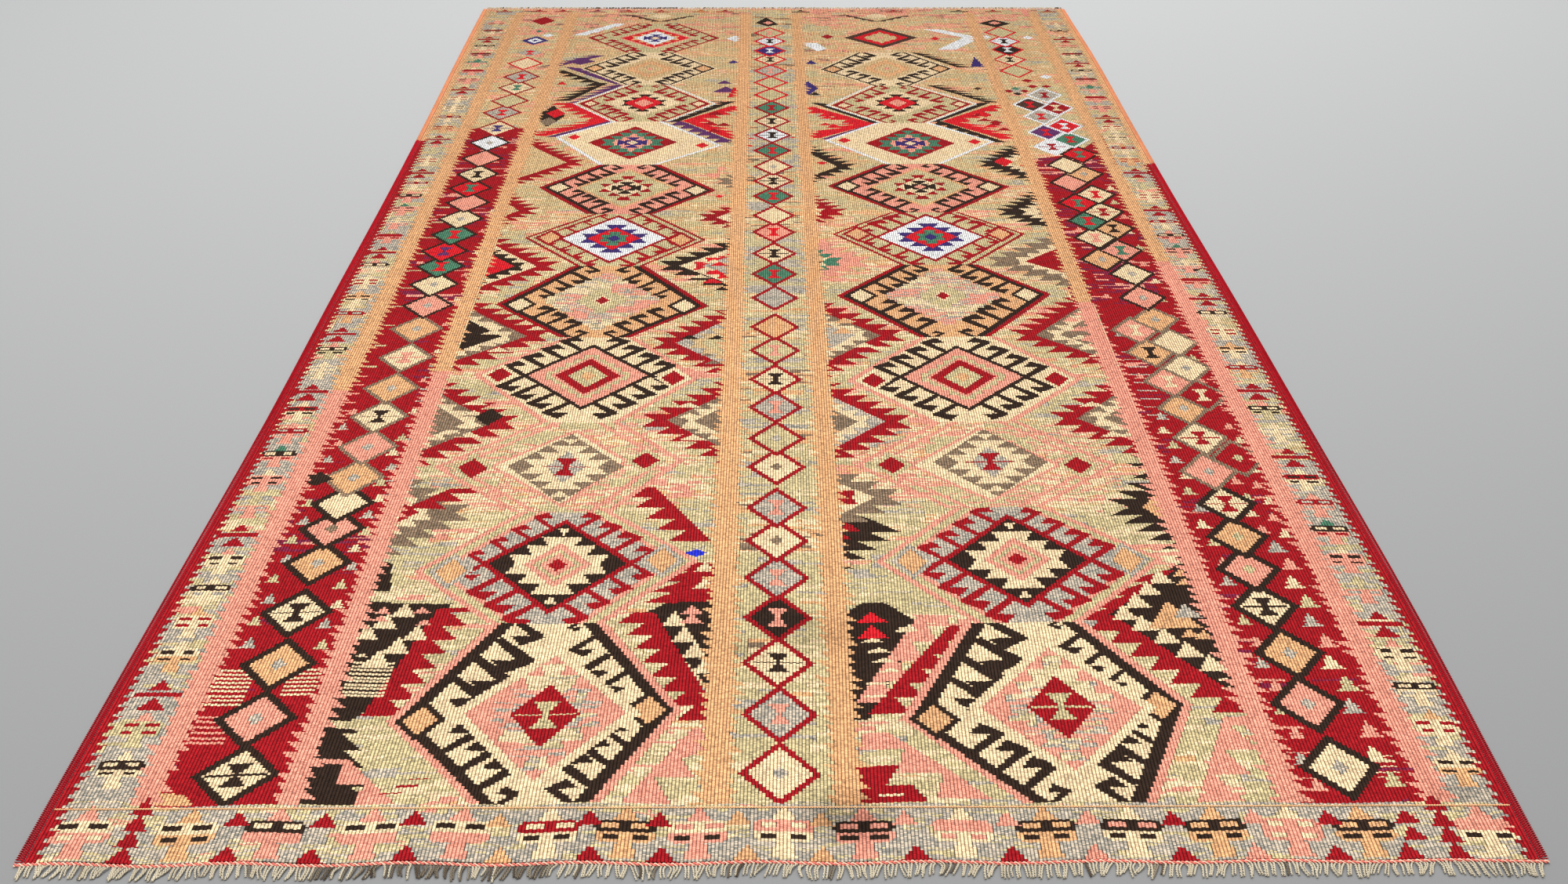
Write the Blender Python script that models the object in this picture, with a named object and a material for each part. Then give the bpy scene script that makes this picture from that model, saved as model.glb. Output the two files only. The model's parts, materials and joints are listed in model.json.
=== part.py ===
"""Flat-woven kilim rug, lying flat on a floor, in the pieces that its maker puts together.

Metres, +Z up. X runs across the rug and Y along it, from the near end (-Y) to the far end (+Y).
Every piece but the twined line rests on z = 0, and neighbouring pieces keep a small gap.
"""
import math
import random
from collections import namedtuple

import bmesh
import bpy
import numpy as np
from mathutils import Matrix, Vector

NAME = "kilim_rug"

# Driving dimensions
WOVEN_WIDTH = 1.70              # over both side cords, before their wander is added
WOVEN_LENGTH = 3.50             # over both end braids, before their wave is added
CLOTH_THICKNESS = 0.003
SIDE_CORD_WIDTH = 0.011         # the overcast edge bundle of warps
SIDE_CORD_HEIGHT = 0.005
END_BRAID_WIDTH = 0.005         # the two-ply twined cord that closes the weaving
END_BRAID_HEIGHT = 0.004
TWINED_LINE_WIDTH = 0.003       # the raised twined row inside the near end border
TWINED_LINE_HEIGHT = 0.0012
TWINED_LINE_FROM_END = 0.091
FRINGE_STRIP_WIDTH = 0.004      # the row of knotted roots that the warp ends leave
FRINGE_STRIP_HEIGHT = 0.0030
STRAND_LENGTH = 0.016
STRAND_LENGTH_SPREAD = 0.003
STRAND_LEAN = 0.0018
STRAND_TIP_HEIGHT = 0.0018
STRAND_TIP_WIDTH = 0.75         # share of the root's width
STRAND_ROOT_SHARE = 0.62        # share of the pitch that a root fills
STRANDS_PER_END = 150
GAP = 0.0003

# Where the overcasting changes yarn, from the near end of the weaving
LEFT_YARN_CHANGE = 2.365
RIGHT_YARN_CHANGE = 2.209

# How fine the solids are
COLUMNS = 48
ROWS = 24
CORD_SIDES = 8
TWINED_LINE_SIDES = 6
FRINGE_SEED = 11

# The sides wander: how far each lies outside its straight line, by distance from the near end
Wander = namedtuple("Wander", "along left right")
SIDE_WANDER = (
    Wander(0.0, 0.001, 0.003),
    Wander(0.5, -0.005, 0.013),
    Wander(1.0, -0.012, 0.011),
    Wander(1.5, -0.010, 0.009),
    Wander(2.0, -0.010, 0.003),
    Wander(2.5, -0.006, 0.001),
    Wander(3.0, 0.001, 0.001),
    Wander(3.5, 0.005, -0.009),
)

# The ends wave with the motifs: length of a wave, its height, and the first crest from the left
Wave = namedtuple("Wave", "length height crest")
NEAR_WAVE = Wave(0.193, 0.0028, 0.049)
FAR_WAVE = Wave(0.610, 0.0020, 0.150)
WAVE_FADE = 0.5                 # share of the height lost from the left side to the right

# The top of the cloth is a little uneven: waves per metre across and along, and height
Ripple = namedtuple("Ripple", "across along height shift")
RIPPLES = (
    Ripple(0.62, 0.35, 0.00020, 0.4),
    Ripple(-0.95, 0.81, 0.00013, 1.9),
    Ripple(1.30, -0.55, 0.00008, 4.1),
)

# End labels double as the direction outward along Y
NEAR = -1
FAR = 1

# Colours (linear RGB) and roughness
Finish = namedtuple("Finish", "colour roughness")
SAGE_WOOL = Finish((0.47, 0.40, 0.24), 0.92)
CRIMSON_YARN = Finish((0.30, 0.012, 0.028), 0.90)
PEACH_YARN = Finish((0.80, 0.40, 0.16), 0.90)
CORAL_YARN = Finish((0.78, 0.16, 0.15), 0.88)
WARP_YARN = Finish((0.55, 0.47, 0.33), 0.94)

KNOTS_X = np.linspace(-WOVEN_WIDTH / 2, WOVEN_WIDTH / 2, COLUMNS + 1)
KNOTS_Y = np.linspace(-WOVEN_LENGTH / 2, WOVEN_LENGTH / 2, ROWS + 1)


def smooth_reading(rows, along, column):
    """One column of a station table, read along a smooth curve through its rows."""
    last = len(rows) - 1
    first = min(sum(row.along <= along for row in rows) - 1, last - 1)
    before, start, stop, after = (
        getattr(rows[min(max(first + step, 0), last)], column) for step in (-1, 0, 1, 2)
    )
    t = (along - rows[first].along) / (rows[first + 1].along - rows[first].along)
    leave = (stop - before) / 2
    arrive = (after - start) / 2
    bend = 2 * (start - stop) + leave + arrive
    return start + t * (leave + t * (3 * (stop - start) - 2 * leave - arrive + t * bend))


def side_knots(direction, column):
    """X of one woven side at each row of knots."""
    return [
        direction * (WOVEN_WIDTH / 2 + smooth_reading(SIDE_WANDER, y + WOVEN_LENGTH / 2, column))
        for y in KNOTS_Y
    ]


def end_knots(end, wave):
    """Y of one woven end at each column of knots."""
    line = []
    for x in KNOTS_X:
        across = x + WOVEN_WIDTH / 2
        fade = 1 - WAVE_FADE * across / WOVEN_WIDTH
        swing = math.cos(math.tau * (across - wave.crest) / wave.length)
        line.append(end * WOVEN_LENGTH / 2 + wave.height * fade * swing)
    return line


LEFT_LINE = side_knots(-1, "left")
RIGHT_LINE = side_knots(1, "right")
END_LINES = {NEAR: end_knots(NEAR, NEAR_WAVE), FAR: end_knots(FAR, FAR_WAVE)}


def left_side(y, inward=0.0):
    """X of the left woven side, or of a line inside it."""
    return float(np.interp(y, KNOTS_Y, LEFT_LINE)) + inward


def right_side(y, inward=0.0):
    """X of the right woven side, or of a line inside it."""
    return float(np.interp(y, KNOTS_Y, RIGHT_LINE)) - inward


def end_line(end, x, inward=0.0):
    """Y of a woven end, or of a line inside it."""
    return float(np.interp(x, KNOTS_X, END_LINES[end])) - end * inward


def cloth_top(x, y):
    """Height of the cloth's upper face."""
    lie = sum(r.height * math.sin(math.tau * (r.across * x + r.along * y) + r.shift) for r in RIPPLES)
    return CLOTH_THICKNESS + lie


def finish(name, look):
    """A plain material with the yarn's colour."""
    material = bpy.data.materials.new(name)
    material.use_nodes = True
    shader = material.node_tree.nodes["Principled BSDF"]
    shader.inputs["Base Color"].default_value = (*look.colour, 1.0)
    shader.inputs["Roughness"].default_value = look.roughness
    shader.inputs["Metallic"].default_value = 0.0
    return material


def add_piece(name, bm, look):
    """Close a bmesh into a named object of the rug's collection."""
    bm.normal_update()
    bmesh.ops.recalc_face_normals(bm, faces=bm.faces[:])
    mesh = bpy.data.meshes.new(name)
    bm.to_mesh(mesh)
    bm.free()
    piece = bpy.data.objects.new(name, mesh)
    mesh.materials.append(finish(name + "_finish", look))
    bpy.data.collections[NAME].objects.link(piece)
    return piece


def straight_cord(stations, sides):
    """A cord of width 1 and height 1 with a flat underside, extruded along X from station to station."""
    bm = bmesh.new()
    bmesh.ops.create_circle(bm, cap_ends=True, segments=sides, radius=0.5)
    flat = math.cos(math.pi / sides)
    bmesh.ops.rotate(bm, verts=bm.verts[:], cent=(0, 0, 0), matrix=Matrix.Rotation(math.pi / sides, 3, "Z"))
    for vert in bm.verts:
        across, up = vert.co.x / flat, 0.5 + vert.co.y / flat
        vert.co = Vector((stations[0], across, 0.0 if up < 1e-5 else up))
    bm.faces.ensure_lookup_table()
    tail = head = bm.faces[0]
    for here, ahead in zip(stations, stations[1:]):
        grown = bmesh.ops.extrude_face_region(bm, geom=[head])["geom"]
        if head is not tail:
            bmesh.ops.delete(bm, geom=[head], context="FACES_ONLY")
        head = next(item for item in grown if isinstance(item, bmesh.types.BMFace))
        bmesh.ops.translate(bm, vec=(ahead - here, 0, 0), verts=list(head.verts))
    return bm


def woven_cloth():
    """The woven sheet: flat below, a little uneven above, its outline wandering as the weaving did."""
    bm = bmesh.new()
    bmesh.ops.create_grid(bm, x_segments=COLUMNS, y_segments=ROWS, size=0.5)
    beside_cord = SIDE_CORD_WIDTH + GAP
    beside_braid = END_BRAID_WIDTH + GAP
    for vert in bm.verts:
        column = round((vert.co.x + 0.5) * COLUMNS)
        row = round((vert.co.y + 0.5) * ROWS)
        x, y = float(KNOTS_X[column]), float(KNOTS_Y[row])
        if column == 0:
            x = left_side(y, beside_cord)
        if column == COLUMNS:
            x = right_side(y, beside_cord)
        if row == 0:
            y = end_line(NEAR, x, beside_braid)
        if row == ROWS:
            y = end_line(FAR, x, beside_braid)
        vert.co = Vector((x, y, cloth_top(x, y)))
    grown = bmesh.ops.extrude_face_region(bm, geom=bm.faces[:])["geom"]
    for item in grown:
        if isinstance(item, bmesh.types.BMVert):
            item.co.z = 0.0
    return add_piece("kilim_cloth", bm, SAGE_WOOL)


def side_cord(name, side, start, stop, look):
    """A length of overcast edge along one side, between two distances from the near end."""
    low, high = start - WOVEN_LENGTH / 2, stop - WOVEN_LENGTH / 2
    between = [float(y) for y in KNOTS_Y if low + GAP < y < high - GAP]
    bm = straight_cord([low, *between, high], CORD_SIDES)
    for vert in bm.verts:
        y, across, up = vert.co
        x = side(y, (0.5 + across) * SIDE_CORD_WIDTH)
        if start == 0.0 and y < low + GAP:
            y = end_line(NEAR, x, END_BRAID_WIDTH + GAP)
        if stop == WOVEN_LENGTH and y > high - GAP:
            y = end_line(FAR, x, END_BRAID_WIDTH + GAP)
        vert.co = Vector((x, y, up * SIDE_CORD_HEIGHT))
    return add_piece(name, bm, look)


def side_cords():
    """Both overcast sides, each in its two yarns."""
    for label, side, change in (
        ("left", left_side, LEFT_YARN_CHANGE),
        ("right", right_side, RIGHT_YARN_CHANGE),
    ):
        side_cord(f"side_cord_{label}_near", side, 0.0, change - GAP / 2, CRIMSON_YARN)
        side_cord(f"side_cord_{label}_far", side, change + GAP / 2, WOVEN_LENGTH, PEACH_YARN)


def end_braid(name, end):
    """The twined cord along one end of the weaving."""
    y_end = float(KNOTS_Y[0] if end == NEAR else KNOTS_Y[-1])
    stations = [left_side(y_end), *(float(x) for x in KNOTS_X[1:-1]), right_side(y_end)]
    bm = straight_cord(stations, CORD_SIDES)
    for vert in bm.verts:
        x, across, up = vert.co
        y = end_line(end, x, (0.5 + across) * END_BRAID_WIDTH)
        vert.co = Vector((x, y, up * END_BRAID_HEIGHT))
    return add_piece(name, bm, CORAL_YARN)


def twined_line():
    """The raised row of twining across the cloth, inside the near end border."""
    y_line = float(KNOTS_Y[0]) + TWINED_LINE_FROM_END
    clear = SIDE_CORD_WIDTH + 4 * GAP
    stations = [left_side(y_line, clear), *(float(x) for x in KNOTS_X[1:-1]), right_side(y_line, clear)]
    bm = straight_cord(stations, TWINED_LINE_SIDES)
    for vert in bm.verts:
        x, across, up = vert.co
        y = y_line + across * TWINED_LINE_WIDTH
        vert.co = Vector((x, y, cloth_top(x, y) + GAP + up * TWINED_LINE_HEIGHT))
    return add_piece("twined_line_near", bm, PEACH_YARN)


def fringe_column(index):
    """Share of the width at one edge of a root or of the space between two roots."""
    strand, is_far_edge = divmod(index - 1, 2)
    middle = strand + 0.5
    reach = STRAND_ROOT_SHARE / 2
    share = (middle + (reach if is_far_edge else -reach)) / STRANDS_PER_END
    return min(max(share, 0.0), 1.0)


def fringe(name, end):
    """The warp ends of one end: a strip of roots, and short strands that lie level on the floor."""
    draw = random.Random(FRINGE_SEED + end)
    segments = 2 * STRANDS_PER_END + 1
    y_end = float(KNOTS_Y[0] if end == NEAR else KNOTS_Y[-1])
    left, right = left_side(y_end), right_side(y_end)
    clear = 2 * GAP
    bm = bmesh.new()
    bmesh.ops.create_grid(bm, x_segments=segments, y_segments=1, size=0.5)
    for vert in bm.verts:
        x = left + (right - left) * fringe_column(round((vert.co.x + 0.5) * segments))
        outward = clear + (FRINGE_STRIP_WIDTH if vert.co.y > 0 else 0.0)
        vert.co = Vector((x, end_line(end, x, -outward), FRINGE_STRIP_HEIGHT))
    grown = bmesh.ops.extrude_face_region(bm, geom=bm.faces[:])["geom"]
    for item in grown:
        if isinstance(item, bmesh.types.BMVert):
            item.co.z = 0.0
    bm.normal_update()
    bmesh.ops.recalc_face_normals(bm, faces=bm.faces[:])
    front = [face for face in bm.faces if face.normal.y * end > 0.9]
    front.sort(key=lambda face: face.calc_center_median().x)
    tips = bmesh.ops.extrude_discrete_faces(bm, faces=front[1::2])["faces"]
    for tip in sorted(tips, key=lambda face: face.calc_center_median().x):
        lay_strand(tip, end, draw)
    return add_piece(name, bm, WARP_YARN)


def lay_strand(tip, end, draw):
    """Draw one strand's end face out along the floor, a little askew and a little thinner."""
    middle = tip.calc_center_median().x
    length = STRAND_LENGTH + draw.uniform(-1, 1) * STRAND_LENGTH_SPREAD
    lean = draw.uniform(-1, 1) * STRAND_LEAN
    for vert in tip.verts:
        vert.co.x = middle + lean + (vert.co.x - middle) * STRAND_TIP_WIDTH
        vert.co.y += end * length
        if vert.co.z > 0:
            vert.co.z = STRAND_TIP_HEIGHT


def centre_on_box(pieces):
    """Move the rug so that its origin is the middle of its box, on the floor."""
    corners = [vert.co for piece in pieces for vert in piece.data.vertices]
    middle_x = (min(c.x for c in corners) + max(c.x for c in corners)) / 2
    middle_y = (min(c.y for c in corners) + max(c.y for c in corners)) / 2
    for piece in pieces:
        piece.data.transform(Matrix.Translation((-middle_x, -middle_y, 0.0)))


def build_rug():
    """Clear the scene and build every piece of the rug."""
    for old in list(bpy.data.objects):
        bpy.data.objects.remove(old, do_unlink=True)
    collection = bpy.data.collections.new(NAME)
    bpy.context.scene.collection.children.link(collection)
    woven_cloth()
    side_cords()
    end_braid("end_braid_near", NEAR)
    end_braid("end_braid_far", FAR)
    twined_line()
    fringe("fringe_near", NEAR)
    fringe("fringe_far", FAR)
    centre_on_box(list(collection.objects))


build_rug()
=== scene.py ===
"""A flat-woven Anatolian kilim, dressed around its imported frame.

Metres, +Z up. X runs across the rug and Y along it, from the near end to the far end. The whole pattern
is woven here, thread by thread, on a chart with one cell for each rib (a covered warp) and each row of beads
(the weft turns that show). The pattern tables give places from the near left corner of the weaving.
"""
import json
import math
from collections import namedtuple

import bpy
import numpy as np
from mathutils import Matrix, Vector

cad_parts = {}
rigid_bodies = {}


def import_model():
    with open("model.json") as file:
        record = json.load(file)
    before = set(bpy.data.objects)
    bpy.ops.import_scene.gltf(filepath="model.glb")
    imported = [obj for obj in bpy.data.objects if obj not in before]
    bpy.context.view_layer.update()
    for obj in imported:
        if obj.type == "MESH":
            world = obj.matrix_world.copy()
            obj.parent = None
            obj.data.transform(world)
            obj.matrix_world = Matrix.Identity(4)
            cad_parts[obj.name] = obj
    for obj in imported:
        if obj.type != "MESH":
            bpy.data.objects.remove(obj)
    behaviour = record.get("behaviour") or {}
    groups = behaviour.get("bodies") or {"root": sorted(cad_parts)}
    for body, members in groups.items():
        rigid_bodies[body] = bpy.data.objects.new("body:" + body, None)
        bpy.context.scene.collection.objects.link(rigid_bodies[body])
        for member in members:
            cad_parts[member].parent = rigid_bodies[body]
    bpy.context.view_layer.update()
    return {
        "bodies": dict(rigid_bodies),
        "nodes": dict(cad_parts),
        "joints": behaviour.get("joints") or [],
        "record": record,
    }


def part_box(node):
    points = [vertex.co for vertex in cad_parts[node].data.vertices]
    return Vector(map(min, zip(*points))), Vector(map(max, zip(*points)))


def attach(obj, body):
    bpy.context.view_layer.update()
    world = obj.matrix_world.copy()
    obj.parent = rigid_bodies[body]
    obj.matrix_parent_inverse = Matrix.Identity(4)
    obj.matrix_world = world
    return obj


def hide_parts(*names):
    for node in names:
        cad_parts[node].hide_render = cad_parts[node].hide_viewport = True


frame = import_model()

bl_info = {
    "name": "Kilim rug",
    "version": (1, 0, 0),
    "blender": (4, 5, 0),
    "location": "3D View > Sidebar > Kilim",
    "description": "Weaves a flat kilim with its overcast sides, twined ends and warp fringe",
    "category": "Object",
}

# ---- the frame's own sizes
WOVEN_WIDTH = 1.70
WOVEN_LENGTH = 3.50
SIDE_CORD_WIDTH = 0.011
SIDE_CORD_HEIGHT = 0.005
END_BRAID_WIDTH = 0.005
END_BRAID_HEIGHT = 0.004
TWINED_LINE_WIDTH = 0.003
TWINED_LINE_HEIGHT = 0.0012
GAP = 0.0003                    # between two pieces that lie side by side
BESIDE_CORD = SIDE_CORD_WIDTH + GAP
BESIDE_BRAID = END_BRAID_WIDTH + GAP
TWINED_LINE_AT = 0.091
FRAME_COLUMNS = 48
FRAME_ROWS = 24
LEFT_YARN_CHANGE = 2.365
RIGHT_YARN_CHANGE = 2.209

# How far each side lies outside its straight line, by distance from the near end
Wander = namedtuple("Wander", "along left right")
SIDE_WANDER = (
    Wander(0.0, 0.001, 0.003),
    Wander(0.5, -0.005, 0.013),
    Wander(1.0, -0.012, 0.011),
    Wander(1.5, -0.010, 0.009),
    Wander(2.0, -0.010, 0.003),
    Wander(2.5, -0.006, 0.001),
    Wander(3.0, 0.001, 0.001),
    Wander(3.5, 0.005, -0.009),
)
# The ends wave: length of a wave, its height, and the first crest from the left
Wave = namedtuple("Wave", "length height crest")
NEAR, FAR = -1, 1
END_WAVES = {NEAR: Wave(0.193, 0.0028, 0.049), FAR: Wave(0.610, 0.0020, 0.150)}
WAVE_FADE = 0.5                 # how much lower the waves are at the right side
# The cloth's top is a little uneven: waves per metre across and along, height and shift
Ripple = namedtuple("Ripple", "across along height shift")
RIPPLES = (
    Ripple(0.62, 0.35, 0.00020, 0.4),
    Ripple(-0.95, 0.81, 0.00013, 1.9),
    Ripple(1.30, -0.55, 0.00008, 4.1),
)

LEFT, RIGHT = -1, 1
KNOTS_X = np.linspace(0, WOVEN_WIDTH, FRAME_COLUMNS + 1)
KNOTS_Y = np.linspace(0, WOVEN_LENGTH, FRAME_ROWS + 1)


def smooth_reading(rows, along, column):
    """One column of a station table, read along a smooth curve through its rows."""
    last = len(rows) - 1
    first = min(sum(row.along <= along for row in rows) - 1, last - 1)
    before, start, stop, after = (
        getattr(rows[min(max(first + step, 0), last)], column) for step in (-1, 0, 1, 2)
    )
    t = (along - rows[first].along) / (rows[first + 1].along - rows[first].along)
    leave = (stop - before) / 2
    arrive = (after - start) / 2
    bend = 2 * (start - stop) + leave + arrive
    return start + t * (leave + t * (3 * (stop - start) - 2 * leave - arrive + t * bend))


SIDE_LINES = {
    LEFT: [-smooth_reading(SIDE_WANDER, y, "left") for y in KNOTS_Y],
    RIGHT: [WOVEN_WIDTH + smooth_reading(SIDE_WANDER, y, "right") for y in KNOTS_Y],
}


def side_line(side, y, inward=0.0):
    """X of a woven side, or of a line inside it."""
    return np.interp(y, KNOTS_Y, SIDE_LINES[side]) - side * inward


def end_line(end, x, inward=0.0):
    """Y of a woven end, or of a line inside it."""
    wave = END_WAVES[end]
    fades = [1 - WAVE_FADE * knot / WOVEN_WIDTH for knot in KNOTS_X]
    knots = [
        wave.height * fade * math.cos(math.tau * (knot - wave.crest) / wave.length)
        for fade, knot in zip(fades, KNOTS_X)
    ]
    return (WOVEN_LENGTH if end == FAR else 0.0) + np.interp(x, KNOTS_X, knots) - end * inward


def cloth_top(x, y):
    """Height of the cloth's upper face."""
    height = sizes().cloth_thickness + 0.0 * x
    for r in RIPPLES:
        turns = r.across * (x - WOVEN_WIDTH / 2) + r.along * (y - WOVEN_LENGTH / 2)
        height = height + r.height * np.sin(math.tau * turns + r.shift)
    return height


# The frame's origin is the middle of the whole rug's box; this is where the weaving's corner lies in it
CLOTH_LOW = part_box("kilim_cloth")[0]
CORNER_X = CLOTH_LOW[0] - min(side_line(LEFT, y, BESIDE_CORD) for y in KNOTS_Y)
CORNER_Y = CLOTH_LOW[1] - min(
    end_line(NEAR, x, BESIDE_BRAID) for x in (side_line(LEFT, 0, BESIDE_CORD), *KNOTS_X[1:-1])
)


def place(x, y, z):
    """Points from the near left corner's measure, in the frame's."""
    return np.stack([x + CORNER_X, y + CORNER_Y, z + 0.0 * x], axis=-1)


# ---- what a user may change
def size(name, description, default, unit="LENGTH"):
    """A size in metres, or a plain number where unit is NONE."""
    return bpy.props.FloatProperty(
        name=name, description=description, default=default, unit=unit, precision=4
    )


def count(name, description, default):
    """A whole number."""
    return bpy.props.IntProperty(name=name, description=description, default=default, min=1)


def colour(name, description, default):
    """A yarn's colour."""
    return bpy.props.FloatVectorProperty(
        name=name, description=description, default=default, subtype="COLOR", size=3, min=0.0, max=1.0
    )


class KilimSizes(bpy.types.PropertyGroup):
    """How fine the weave and the cords are."""

    cloth_thickness: size("Cloth thickness", "Thickness of the woven cloth", 0.003)
    ribs: count("Ribs", "Covered warps from side to side, in fours", 396)
    beads: count("Bead rows", "Weft turns from end to end, in eights", 1664)
    rib_height: size("Rib height", "How far a rib stands over the valleys beside it", 0.0013)
    overcast_pitch: size("Overcast pitch", "Distance from one turn of the overcasting to the next", 0.0033)
    twine_pitch: size("Twine pitch", "Length of one full twist of the end cords", 0.0095)
    warp_end_length: size("Warp end length", "Length of the loose warp ends", 0.0185)
    warp_end_spread: size("Warp end spread", "How much the lengths of the warp ends differ", 0.0035)


class KilimYarns(bpy.types.PropertyGroup):
    """The dyed wools, in the order in which the chart numbers them."""

    crimson: colour("Crimson", "Fields, overcasting and outlines", (0.33, 0.0088, 0.0132))
    coral: colour("Coral", "Stripes, lozenges and rims", (0.86, 0.325, 0.225))
    peach: colour("Peach", "Stripes and lozenges of the far half", (0.77, 0.40, 0.185))
    cream: colour("Cream", "Undyed light wool", (0.86, 0.63, 0.37))
    sage: colour("Sage", "Yellow green ground", (0.61, 0.49, 0.255))
    heather: colour("Heather", "Grey green ground of the borders", (0.54, 0.44, 0.33))
    black: colour("Black", "Natural brown black wool", (0.028, 0.0155, 0.010))
    taupe: colour("Taupe", "Faded brown wool", (0.26, 0.175, 0.11))
    green: colour("Green", "Blue green accents", (0.075, 0.210, 0.125))
    white: colour("White", "Bleached cotton", (0.80, 0.79, 0.77))
    navy: colour("Navy", "Violet blue accents", (0.045, 0.026, 0.135))
    purple: colour("Purple", "Purple accents", (0.105, 0.030, 0.110))
    red: colour("Red", "Bright red accents", (0.70, 0.014, 0.022))
    blue: colour("Blue", "A fleck of bright blue", (0.020, 0.030, 0.560))
    straw: colour("Straw", "Warm light ground of the far half", (0.67, 0.45, 0.22))
    rust: colour("Rust", "Orange brown accents", (0.58, 0.150, 0.035))
    plum: colour("Plum", "Dark weft in the crimson fields", (0.180, 0.022, 0.060))
    brown: colour("Brown", "Dark brown accents", (0.072, 0.032, 0.022))
    warp: colour("Warp", "Spun warp at the fringe", (0.52, 0.445, 0.320))
    dark_warp: colour("Dark warp", "Brown plies among the warps", (0.085, 0.058, 0.038))


class KilimCords(bpy.types.PropertyGroup):
    """The yarns of the cords and the fringe, and what each is worn to."""

    crimson: colour("Crimson", "Overcasting of the near part of both sides", (0.50, 0.014, 0.024))
    worn_crimson: colour("Worn crimson", "Worn places of the crimson overcasting", (0.36, 0.011, 0.020))
    peach: colour("Peach", "Overcasting of the far part of both sides", (0.80, 0.34, 0.17))
    worn_peach: colour("Worn peach", "Worn places of the peach overcasting", (0.62, 0.20, 0.10))
    coral: colour("Coral", "First ply of the end cords", (0.82, 0.17, 0.14))
    worn_coral: colour("Worn coral", "Worn places of the end cords", (0.80, 0.28, 0.20))
    coral_second_ply: colour("Pale coral", "Second ply of the end cords", (0.86, 0.62, 0.45))
    worn_row: colour("Worn row", "Worn places of the twined row", (0.60, 0.50, 0.30))
    worn_warp: colour("Worn warp", "Worn places of the warp ends", (0.66, 0.60, 0.47))


class KilimStudio(bpy.types.PropertyGroup):
    """The plain floor and the light."""

    floor_near: colour("Near floor", "Floor colour in front of the rug", (0.208, 0.208, 0.207))
    floor_far: colour("Far floor", "Floor colour behind the rug", (0.485, 0.488, 0.485))
    floor_size: size("Floor size", "Side of the square floor", 30.0)
    key_power: size("Key light", "Power of the large soft light in watts", 330.0, "POWER")
    fill_power: size("Fill light", "Power of the weaker light in watts", 170.0, "POWER")
    sky_strength: size("Sky", "Strength of the even light from all round", 0.42, "NONE")


def sizes():
    """The sizes of the scene in use."""
    return bpy.context.scene.kilim_sizes


def yarns():
    """The yarns of the scene in use."""
    return bpy.context.scene.kilim_yarns


def cords():
    """The cords' yarns of the scene in use."""
    return bpy.context.scene.kilim_cords


def studio():
    """The studio of the scene in use."""
    return bpy.context.scene.kilim_studio


YARN_NAMES = tuple(KilimYarns.__annotations__)
YARN = {name: index for index, name in enumerate(YARN_NAMES)}
# How strongly the fibres of each wool differ, from 0 to 1, where it isn't the usual amount
USUAL_FLECK = 0.28
FLECKED = {
    "heather": 0.80, "sage": 0.42, "taupe": 0.55, "plum": 0.6, "cream": 0.22, "crimson": 0.16, "white": 0.12,
    "black": 0.35, "coral": 0.26, "peach": 0.26,
}
LIGHTNESS = Vector((0.3, 0.6, 0.1))     # how much red, green and blue count in a wool's lightness
DARK_WOOL = 0.12                        # a wool below this lightness has a lighter second fibre
LIGHTER, LIFT = 2.1, 0.02
DARKER, GREYED = 0.50, 0.12
HEATHER_FIBRE = (0.21, 0.235, 0.225)


# ---- shader sums as Python
class Reading:
    """A number in a material; sums with it add Math nodes."""

    def __init__(self, dye, socket):
        self.dye = dye
        self.socket = socket

    def math(self, operation, *values):
        """A Math node on these values, whose result is a new reading."""
        return self.dye.value("ShaderNodeMath", {"operation": operation}, dict(enumerate(values)))

    def __add__(self, other):
        return self.math("ADD", self, other)

    def __sub__(self, other):
        return self.math("SUBTRACT", self, other)

    def __mul__(self, other):
        return self.math("MULTIPLY", self, other)

    def __truediv__(self, other):
        return self.math("DIVIDE", self, other)

    def __radd__(self, other):
        return self.math("ADD", other, self)

    def __rsub__(self, other):
        return self.math("SUBTRACT", other, self)

    def __rmul__(self, other):
        return self.math("MULTIPLY", other, self)

    def __rpow__(self, other):
        return self.math("POWER", other, self)

    def __pow__(self, other):
        return self.math("POWER", self, other)

    def __mod__(self, other):
        return self - (self / other).floor() * other

    def floor(self):
        """The whole number at or below it."""
        return self.math("FLOOR", self)

    def above(self, other):
        """1 where it is above the other, or else 0."""
        return self.math("GREATER_THAN", self, other)

    def is_about(self, other):
        """1 where it is within a quarter of the other, or else 0."""
        return self.math("COMPARE", self, other, 0.25)

    def lesser(self, other):
        """The lesser of the two."""
        return self.math("MINIMUM", self, other)

    def clamped(self):
        """Kept from 0 to 1."""
        return self.dye.value("ShaderNodeClamp", {}, {0: self})

    def arch(self):
        """1 in the middle of each whole number's span and 0 at its ends."""
        across = (self - self.floor()) * 2.0 - 1.0
        return 1.0 - across * across


WOOL_GLOSS = 0.05


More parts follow.
